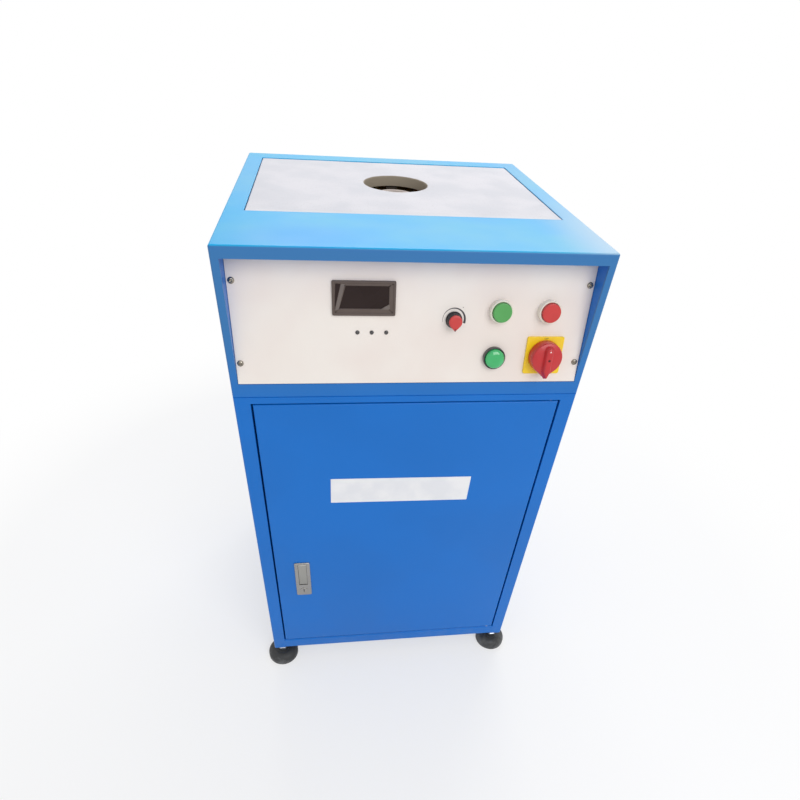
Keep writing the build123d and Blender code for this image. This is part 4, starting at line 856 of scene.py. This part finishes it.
class FURNACE_OT_push_buttons(bpy.types.Operator):
    """Make the start and stop buttons with their cream heads"""

    bl_idname = "furnace.push_buttons"
    bl_label = "Push buttons"

    # A ring with an eased rim round the cap's well, and its barrel through the panel.
    head = (
        (5.1, -22.0, 0), (11.0, -22.0, 0.8), (11.0, 0.0, 0), (14.8, 0.0, 0.1), (14.8, 9.5, 2.4), (12.6, 9.5, 0.8),
        (12.6, 1.0, 0.5), (5.1, 1.0, 0.3),
    )
    # A plunger that widens to a cap with an eased edge and a shallow dish.
    cap = ((5.0, -17.0, 0), (5.0, 5.3, 0.2), (12.2, 5.3, 0.3), (12.2, 13.5, 1.8), (9.6, 13.5, 2.0), (0.1, 13.05, 0))

    def execute(self, context):
        colours = context.scene.furnace_colours
        cream = moulded("button_cream", tone(236, 230, 216), 0.34, tone(216, 208, 190), Coat_Weight=0.3)
        heads = [(lathed(self.head, closed=True), on_panel(*place)) for place in (START_PLACE, STOP_PLACE)]
        make_piece("button_bezels", heads, cream, "cabinet", ["button_heads"])
        buttons = (("start", START_PLACE, "green_plastic"), ("stop", STOP_PLACE, "red_plastic"))
        for name, place, slot in buttons:
            plastic = moulded(f"{name}_cap", getattr(colours, name), 0.38, Coat_Weight=0.2)
            node = f"{name}_button"
            make_piece(f"{name}_cap", [(lathed(self.cap), on_panel(*place))], plastic, node, [node])
        black = moulded("contact_black", tone(46, 48, 52), 0.5, tone(70, 72, 78))
        cover(black, "contact_blocks", "switch_body")
        cover(zinc("potentiometer_can"), "potentiometer")
        return DONE


class FURNACE_OT_pilot_lamp(bpy.types.Operator):
    """Make the pilot lamp: a black ring and a domed green lens"""

    bl_idname = "furnace.pilot_lamp"
    bl_label = "Pilot lamp"

    ring = (
        (9.8, -22.0, 0), (11.0, -22.0, 0.4), (11.0, 0.0, 0), (14.8, 0.0, 0.1), (14.8, 6.5, 1.2), (13.3, 6.5, 0.4),
        (13.1, 1.6, 0.2), (9.8, 1.6, 0),
    )

    def execute(self, context):
        place = on_panel(*LAMP_PLACE)
        black = moulded("lamp_black", tone(24, 34, 32), 0.3, Coat_Weight=0.4)
        ring = lathed(self.ring, closed=True)
        make_piece("lamp_ring", [(ring, place)], black, "cabinet", ["pilot_lamp_bezel"])
        green = moulded(
            "lamp_green", context.scene.furnace_colours.lamp, 0.14, tone(70, 205, 130), Coat_Weight=1,
            Coat_Roughness=0.04, Emission_Color=opaque(tone(20, 190, 100)), Emission_Strength=0.12,
        )
        make_piece("lamp_lens", [(self.lens(), place)], green, "cabinet", ["pilot_lamp_lens"])
        return DONE

    def lens(self, radius=12.8):
        """A straight wall, then a dome: the radius falls as the cosine and the height rises as the sine."""
        share = np.linspace(0, pi / 2 * 0.985, 18)
        dome = np.column_stack((12.6 * np.cos(share) ** 0.8, 8.6 + 4.3 * np.sin(share)))
        return turned(np.vstack(((radius, 2.0), (radius, 8.0), dome)), 80)


def fluted(count):
    """A short cylinder whose radius dips in grooves: it falls by the sixth power of half the groove's sine."""
    angle = circle(count * 10)
    groove = np.abs(np.sin(angle * count / 2)) ** 6
    corners = (
        (3.0, -11.0, 0), (3.0, 0.8, 0.1), (10.8, 0.8, 0.3), (10.8, 2.2, 0.5), (9.5, 3.4, 0.6), (9.3, 11.0, 0.9),
        (8.6, 11.0, 0),
    )
    rows = eased(corners, steps=4)
    depth = np.clip((rows[:, :1] - 6.0) / 3.0, 0, 1) * np.clip((rows[:, 1:] - 3.0) / 1.0, 0, 1)
    return skin(polar(rows[:, :1] - 0.55 * groove * depth, angle, rows[:, 1:]))


class FURNACE_OT_power_knob(bpy.types.Operator):
    """Make the fluted power knob and its red pointer cap"""

    bl_idname = "furnace.power_knob"
    bl_label = "Power knob"

    # The pointer is a teardrop plate with eased edges, crowned in the middle: its share and height, row by row.
    pointer = ((0.98, 11.0), (1.0, 11.3), (1.0, 13.1), (0.97, 13.7), (0.91, 14.0), (0.6, 14.15), (0.25, 14.2))

    def execute(self, context):
        body, place = "power_knob", on_panel(*KNOB_PLACE)
        black = moulded("knob_black", tone(34, 30, 32), 0.42)
        skirt = fluted(context.scene.furnace_sizes.flutes)
        make_piece("knob_skirt", [(skirt, place)], black, body, ["knob_body"])
        pointer = scaled(teardrop(8.5, 12.0), [(share, share, height) for share, height in self.pointer])
        red = moulded("knob_red", tone(196, 58, 56), 0.4)
        make_piece("knob_pointer", [(pointer, place)], red, body, ["knob_cap"])
        mark = patch(((0.7, -8.6), (-0.7, -8.6), (-0.45, -11.6), (0.45, -11.6)), 14.1, 14.22, 0.03, 0.2)
        make_piece("knob_mark", [(mark, place)], finish("knob_ink", tone(60, 24, 26), 0.5), body)
        return DONE


class FURNACE_OT_main_switch(bpy.types.Operator):
    """Make the main switch: the yellow plate and the red rotary handle"""

    bl_idname = "furnace.main_switch"
    bl_label = "Main switch"

    # The handle's disc is a teardrop with eased edges: its share and height, row by row.
    dial = (
        (0.96, 3.6), (1.0, 4.4), (1.0, 6.0), (0.985, 12.0), (0.97, 16.4), (0.94, 18.0), (0.88, 18.8), (0.3, 19.2)
    )
    # The grip's outline, and its share across, share along and height: it tapers to an eased, crowned top.
    grip_corners = (
        (3.9, 17.5), (-3.9, 17.5), (-6.2, 12.5), (-6.2, -17.0), (-1.0, -27.0), (1.0, -27.0), (6.2, -17.0), (6.2, 12.5)
    )
    grip = (
        (1.25, 1.02, 18.0), (1.08, 1.0, 18.9), (0.96, 0.98, 20.2), (0.84, 0.94, 22.6), (0.74, 0.925, 24.0),
        (0.64, 0.9, 24.9), (0.48, 0.86, 25.4), (0.25, 0.78, 25.6),
    )

    def execute(self, context):
        colours = context.scene.furnace_colours
        u, v = SWITCH_PLACE
        place = on_panel(u, v)
        yellow = moulded("switch_yellow", colours.plate, 0.4, Coat_Weight=0.25)
        plate = skin(levels(rectangle(51.0, 51.0, 3.0), rounded(((0, 0.0), (0, 3.0), (1.5, 3.0)), (0, 1.0, 0))))
        make_piece("switch_yellow_plate", [(plate, place)], yellow, "cabinet", ["switch_plate"])
        words = [(lettering("OFF", 3.2), on_panel(u, v + 23.2, 3.03))]
        words.append((lettering("ON", 3.0), turned_about(on_panel(u + 23.4, v, 3.03), -pi / 2)))
        make_piece("switch_lettering", words, finish("switch_ink", tone(40, 34, 30), 0.5), "cabinet")
        dial = scaled(teardrop(21.6, 27.6, 128), [(share, share, height) for share, height in self.dial])
        grip = scaled(rounded(self.grip_corners, 2.4, True), self.grip, (0.0, -3.0))
        shaft = turned(((4.0, -22.0), (4.0, 4.0)), 32)
        handle = [(surface, place) for surface in (dial, grip, shaft)]
        red = moulded("switch_red", colours.handle, 0.38, Coat_Weight=0.25, Coat_Roughness=0.2)
        make_piece("switch_dial", handle, red, "main_switch", ["switch_handle"])
        mark = patch(((0.0, 13.2), (-1.5, 11.0), (1.5, 11.0)), 25.3, 25.68, 0.03, 0.2)
        make_piece("switch_mark", [(mark, place)], finish("switch_marks", tone(236, 206, 204), 0.5), "main_switch")
        screw = lathed(((1.7, 25.3, 0), (1.7, 25.75, 0.3), (0.1, 25.8, 0)), 24)
        dark = finish("switch_screw", tone(84, 30, 30), 0.4, 0.6)
        make_piece("switch_screw", [(screw, place)], dark, "main_switch")
        return DONE


class FURNACE_OT_lock(bpy.types.Operator):
    """Make the flush lock's eased case, lever and cylinder"""

    bl_idname = "furnace.lock"
    bl_label = "Lock"

    def execute(self, context):
        chrome = finish("lock_chrome", tone(164, 162, 159), 0.26, 1, tone(146, 144, 142), (30, 0.4), (1200, 0.004))
        softened("lock_case", "lock_rim", 0.5, chrome, "door")
        satin = finish("lever_satin", tone(157, 156, 151), 0.36, 1, grain=(900, 0.01), stretch=(1, 1, 0.1))
        softened("lock_lever", "lock_pull", 0.7, satin, "lock_lever")
        softened("lock_cylinder", "lock_barrel", 0.25, chrome, "lock_cylinder")
        cover(zinc("cam_zinc"), "lock_cam")
        return DONE


# ---------------------------------------------------------------- top board and hearth
class FURNACE_OT_heat_board(bpy.types.Operator):
    """Make the heat-proof board with its worn edges and the charge opening"""

    bl_idname = "furnace.heat_board"
    bl_label = "Heat board"

    high = 847.2
    half_x = 213.5
    limits_y = (-108.0, 203.0)
    hole = 49.0
    per_side = 72
    # The section: share of the way from the hole to the outer edge, a shift outwards and a drop.
    section = (
        (0, 0.0, 14.7), (0, 0.0, 1.9), (0, 0.3, 0.9), (0, 1.0, 0.25), (0, 2.4, 0.0), (0.15, 0, 0.0), (0.4, 0, 0.0),
        (0.7, 0, 0.0), (1, -2.2, 0.0), (1, -0.9, 0.25), (1, -0.25, 0.8), (1, 0.0, 1.8), (1, 0.0, 14.7),
    )

    def execute(self, context):
        board = finish(
            "board_fibre", context.scene.furnace_colours.board, 0.86, 0, tone(212, 213, 220), (13, 0.8), (260, 0.12),
            dirt=(tone(196, 194, 198), 16, 0.3, 0.4), spots=(tone(206, 204, 208), 260, 0.14), uneven=0.05,
        )
        tree = board.node_tree
        out = distance(tree, moved(tree, Location=(0, -HEARTH_Y * MM, 0), Scale=(1, 1, 0)))
        scorched = use(tree, grime, Scale=60, Coverage=0.5)["Mask"]
        halo = times(tree, span(tree, out, 0.050, 0.062, 0.5, 0), scorched)
        overlay(board, halo, tone(186, 176, 164))
        overlay(board, span(tree, out, 0.0497, 0.0512, 1, 0), tone(150, 140, 124))
        make_piece("heat_board", [(self.slab(), standing(0, 0))], board, "cabinet", ["top_board"], 50)
        return DONE

    def slab(self):
        """For each direction from the hole's middle, a section runs up the hole's wall, across to the edge of
        the board, down and back under it. Both upper edges are eased and a little uneven."""
        x, (near, far) = self.half_x, self.limits_y
        corners = np.array(((x, near), (x, far), (-x, far), (-x, near)))
        share = np.linspace(0, 1, self.per_side, endpoint=False)[None, :, None]
        outer = (corners[:, None] + (np.roll(corners, -1, axis=0) - corners)[:, None] * share).reshape(-1, 2)
        middle = np.array((0.0, HEARTH_Y))
        ray = outer - middle
        ray /= np.linalg.norm(ray, axis=1)[:, None]
        inner = middle + ray * self.hole
        wear = np.convolve(np.random.default_rng(5).random(len(ray) + 8), np.ones(5) / 5, "same")[4:-4]
        worn = 0.6 + 0.9 * wear
        loops = []
        for place, shift, drop in self.section:
            flat = inner * (1 - place) + outer * place + ray * shift * worn[:, None]
            sink = drop * np.where(drop < 5, worn, 1.0)
            loops.append(np.column_stack((flat, self.high - sink)))
        return skin(np.stack(loops), wrap=True)


class FURNACE_OT_hearth(bpy.types.Operator):
    """Make the crucible and give the hearth and the coil their finishes"""

    bl_idname = "furnace.hearth"
    bl_label = "Hearth"

    base, rim = 721.5, 831.5

    def execute(self, context):
        height = self.rim - self.base
        corners = (
            (1.0, 0, 0), (24.0, 0, 2), (33.0, 22, 8), (33.0, height, 2.6), (27.0, height, 2.6), (27.0, 22, 8),
            (18.0, 6, 5), (1.0, 6, 0),
        )
        cup = [(lathed(corners, 96), standing(0.0, HEARTH_Y, self.base))]
        make_piece("melting_crucible", cup, self.clay(), "crucible", ["crucible"])
        brick = finish(
            "hearth_brick", tone(206, 190, 170), 0.92, 0, tone(176, 158, 138), (30, 0.7), (320, 0.25),
            spots=(tone(150, 130, 112), 420, 0.14), dirt=(tone(96, 84, 76), 26, 0.3, 0.6),
        )
        cover(brick, "hearth_base")
        fibre = finish(
            "lining_fibre", tone(216, 206, 194), 0.9, 0, tone(184, 168, 152), (60, 0.7), (700, 0.1),
            dirt=(tone(110, 92, 80), 40, 0.4, 0.6),
        )
        cover(fibre, "furnace_lining")
        # The coil posts are dark brown board, made darker as painted shade deep in the hearth below the board.
        cover(finish("post_board", tone(64, 56, 48), 0.8, 0, tone(48, 42, 36), (50, 0.7), (500, 0.08)), "coil_posts")
        glass = finish("lead_board_glass", tone(190, 168, 104), 0.5, 0, None, (24, 0.6), (600, 0.03), (1, 1, 0.05))
        cover(glass, "lead_board")
        copper = finish(
            "coil_copper", tone(200, 112, 74), 0.28, 1, tone(168, 84, 60), (40, 0.7), (900, 0.01),
            dirt=(tone(92, 52, 50), 45, 0.35, 0.7),
        )
        cover(copper, "induction_coil", "busbars")
        return DONE

    def clay(self):
        """Clay graphite, pale and pinkish at its rim and darker down the cup."""
        material = finish(
            "crucible_clay", tone(150, 140, 130), 0.78, 0, tone(116, 106, 98), (46, 0.8), (500, 0.12),
            dirt=(tone(74, 62, 56), 60, 0.35, 0.6),
        )
        tree = material.node_tree
        level = along(tree, "Z")
        overlay(material, span(tree, level, (self.base + 20) * MM, (self.rim - 30) * MM, 1, 0), tone(62, 48, 42))
        overlay(material, span(tree, level, (self.rim - 8.0) * MM, (self.rim - 0.6) * MM), tone(196, 184, 178))
        return material


# ---------------------------------------------------------------- feet
def threaded(pitch, low=31.0, high=62.0, root=5.0, depth=0.95):
    """A stud whose radius falls to the root of the thread and back once in each pitch, a full turn further
    round for each pitch of height."""
    height = np.linspace(low, high, 150)[:, None]
    angle = circle(36)
    phase = (height / pitch - angle / (2 * pi)) % 1.0
    ends = np.clip((high - height) / 1.5, 0, 1)
    return skin(polar(root + depth * (1 - np.abs(2 * phase - 1)) * ends, angle, height))


class FURNACE_OT_feet(bpy.types.Operator):
    """Make the four levelling feet: rubber pads and threaded studs"""

    bl_idname = "furnace.feet"
    bl_label = "Levelling feet"

    pad = (
        (1.0, 0.0, 0), (28.6, 0.0, 1.5), (30.0, 1.4, 1.0), (30.0, 12.0, 3.5), (24.5, 19.5, 3.0), (18.0, 22.0, 1.5),
        (1.0, 22.0, 0),
    )

    def execute(self, context):
        rubber = finish(
            "foot_rubber", tone(44, 45, 46), 0.6, 0, tone(56, 56, 56), (60, 0.4), (900, 0.05),
            dust=(DUST, -0.02, 0.03, 0.25),
        )
        plated = zinc("stud_zinc")
        pad = lathed(self.pad, 72)
        nut = skin(levels(hexagon(19.0, 0.8), rounded(((1.4, 22.0), (0, 23.0), (0, 30.0), (1.4, 31.0)), 0.4)))
        thread = threaded(context.scene.furnace_sizes.thread_pitch / MM)
        for index, corner in enumerate(CORNERS):
            x = FOOT_REACH * (1 if index % 2 else -1)
            y = FOOT_REACH * (1 if index > 1 else -1)
            place, body = standing(x, y), f"{corner}_foot"
            make_piece(f"{corner}_pad", [(pad, place)], rubber, body, [f"{corner}_foot_pad"])
            stud = [(nut, place), (thread, place)]
            make_piece(f"{corner}_stud", stud, plated, body, [f"{corner}_foot_stud"])
        return DONE


# ---------------------------------------------------------------- back
class FURNACE_OT_back(bpy.types.Operator):
    """Make the fan's blades and give the fittings on the back their finishes"""

    bl_idname = "furnace.back"
    bl_label = "Back"

    blades = 7
    hub_radius = 20.5
    tip_radius = 55.0
    hub_levels = (-29.0, -7.5)

    def execute(self, context):
        black = moulded("fan_black", tone(38, 40, 42), 0.5, tone(58, 60, 62))
        place = on_back(0.0, FAN_HEIGHT)
        parts = [(self.hub(), place)]
        parts += [(self.blade(), turned_about(place, 2 * pi / self.blades * index)) for index in range(self.blades)]
        make_piece("fan_blades", parts, black, "fan_rotor", ["fan_rotor"])
        cover(black, "fan_housing", "cable_gland")
        cover(zinc("guard_zinc"), "fan_guard")
        brass = finish("fitting_brass", tone(206, 168, 92), 0.26, 1, tone(168, 128, 66), (80, 0.6), (900, 0.01))
        cover(brass, "water_fittings")
        cover(finish("hose_rubber", tone(44, 44, 46), 0.6, grain=(300, 0.2), stretch=(1, 0.3, 1)), "cooling_hoses")
        return DONE

    def hub(self):
        """A turned hub with an eased front and its shaft."""
        low, high = self.hub_levels
        corners = (
            (2.5, -35.5, 0), (2.5, low, 0.1), (self.hub_radius, low, 0.4), (self.hub_radius, high, 3.0),
            (13.0, high, 0.4), (12.0, high - 1.2, 0.4), (0.5, high - 1.2, 0),
        )
        return lathed(corners, 64)

    def blade(self):
        """A blade: at each radius its section is a thin cambered oval, pitched by an angle that eases outwards."""
        low, high = self.hub_levels
        radius = np.linspace(self.hub_radius - 2.0, self.tip_radius, 12)[:, None]
        share = (radius - self.hub_radius) / (self.tip_radius - self.hub_radius)
        turn = circle(24)
        chord = (20.0 + 10.0 * share) / 2 * np.cos(turn)
        camber = 0.9 * np.sin(turn) + 1.6 * (1 - np.cos(turn) ** 2)
        pitch = radians(42) - radians(8) * share
        side = chord * np.cos(pitch) - camber * np.sin(pitch) + 3.0 * share**2
        level = chord * np.sin(pitch) + camber * np.cos(pitch)
        return skin(polar(radius, side / radius, np.clip((low + high) / 2 + level * 0.95, low, high)))


# ---------------------------------------------------------------- inside
class FURNACE_OT_inside(bpy.types.Operator):
    """Give the power electronics their finishes"""

    bl_idname = "furnace.inside"
    bl_label = "Inside"

    def execute(self, context):
        brushed = finish("sink_aluminium", tone(196, 198, 200), 0.34, 1, None, (40, 0.4), (700, 0.02), (1, 1, 0.04))
        cover(brushed, "heat_sink")
        cover(moulded("module_beige", tone(188, 178, 160), 0.45), "power_modules")
        sleeve = finish("can_sleeve", tone(30, 62, 120), 0.3, 0, None, (30, 0.3), (500, 0.01), Coat_Weight=0.5)
        cover(sleeve, "capacitors")
        ferrite = finish("ferrite_grey", tone(58, 56, 58), 0.7, grain=(800, 0.05), spots=(tone(92, 90, 92), 900, 0.12))
        cover(ferrite, "transformer_core")
        tape = finish("winding_tape", tone(206, 170, 60), 0.4, grain=(300, 0.1), stretch=(0.05, 0.05, 1))
        cover(tape, "transformer_windings")
        cover(moulded("contactor_cream", tone(212, 206, 190), 0.42), "contactor")
        cover(self.board(), "control_board")
        return DONE

    def board(self):
        """Green lacquer with pale tracks on the board, and dark cases where the parts stand off it."""
        lacquer = finish(
            "board_lacquer", tone(24, 98, 60), 0.35, 0, None, (60, 0.3), (800, 0.02),
            spots=(tone(196, 180, 96), 260, 0.09),
        )
        tree = lacquer.node_tree
        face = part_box("control_board")[1].y - 1.6 * MM
        overlay(lacquer, span(tree, along(tree, "Y"), face - 0.9 * MM, face - 0.4 * MM, 1, 0), tone(44, 46, 50))
        return lacquer


# ---------------------------------------------------------------- sidebar and running
OPERATORS = (
    FURNACE_OT_stage,
    FURNACE_OT_cabinet,
    FURNACE_OT_door_plate,
    FURNACE_OT_screws,
    FURNACE_OT_panel,
    FURNACE_OT_meter,
    FURNACE_OT_indicators,
    FURNACE_OT_push_buttons,
    FURNACE_OT_pilot_lamp,
    FURNACE_OT_power_knob,
    FURNACE_OT_main_switch,
    FURNACE_OT_lock,
    FURNACE_OT_heat_board,
    FURNACE_OT_hearth,
    FURNACE_OT_feet,
    FURNACE_OT_back,
    FURNACE_OT_inside,
)


class FURNACE_PT_sidebar(bpy.types.Panel):
    """The furnace's pieces and what a user can change"""

    bl_label = "Furnace"
    bl_idname = "FURNACE_PT_sidebar"
    bl_space_type = "VIEW_3D"
    bl_region_type = "UI"
    bl_category = "Furnace"

    def draw(self, context):
        for group in (context.scene.furnace_colours, context.scene.furnace_sizes):
            for name in group.__annotations__:
                self.layout.prop(group, name)
        for operator in OPERATORS:
            self.layout.operator(operator.bl_idname)


CLASSES = (FurnaceColours, FurnaceSizes, *OPERATORS, FURNACE_PT_sidebar)


def register():
    for kind in CLASSES:
        bpy.utils.register_class(kind)
    bpy.types.Scene.furnace_colours = PointerProperty(type=FurnaceColours)
    bpy.types.Scene.furnace_sizes = PointerProperty(type=FurnaceSizes)


def unregister():
    del bpy.types.Scene.furnace_sizes
    del bpy.types.Scene.furnace_colours
    for kind in reversed(CLASSES):
        bpy.utils.unregister_class(kind)


def main():
    """Make every piece in order."""
    register()
    make_effects()
    for operator in OPERATORS:
        group, name = operator.bl_idname.split(".")
        getattr(getattr(bpy.ops, group), name)()


if __name__ == "__main__":
    main()
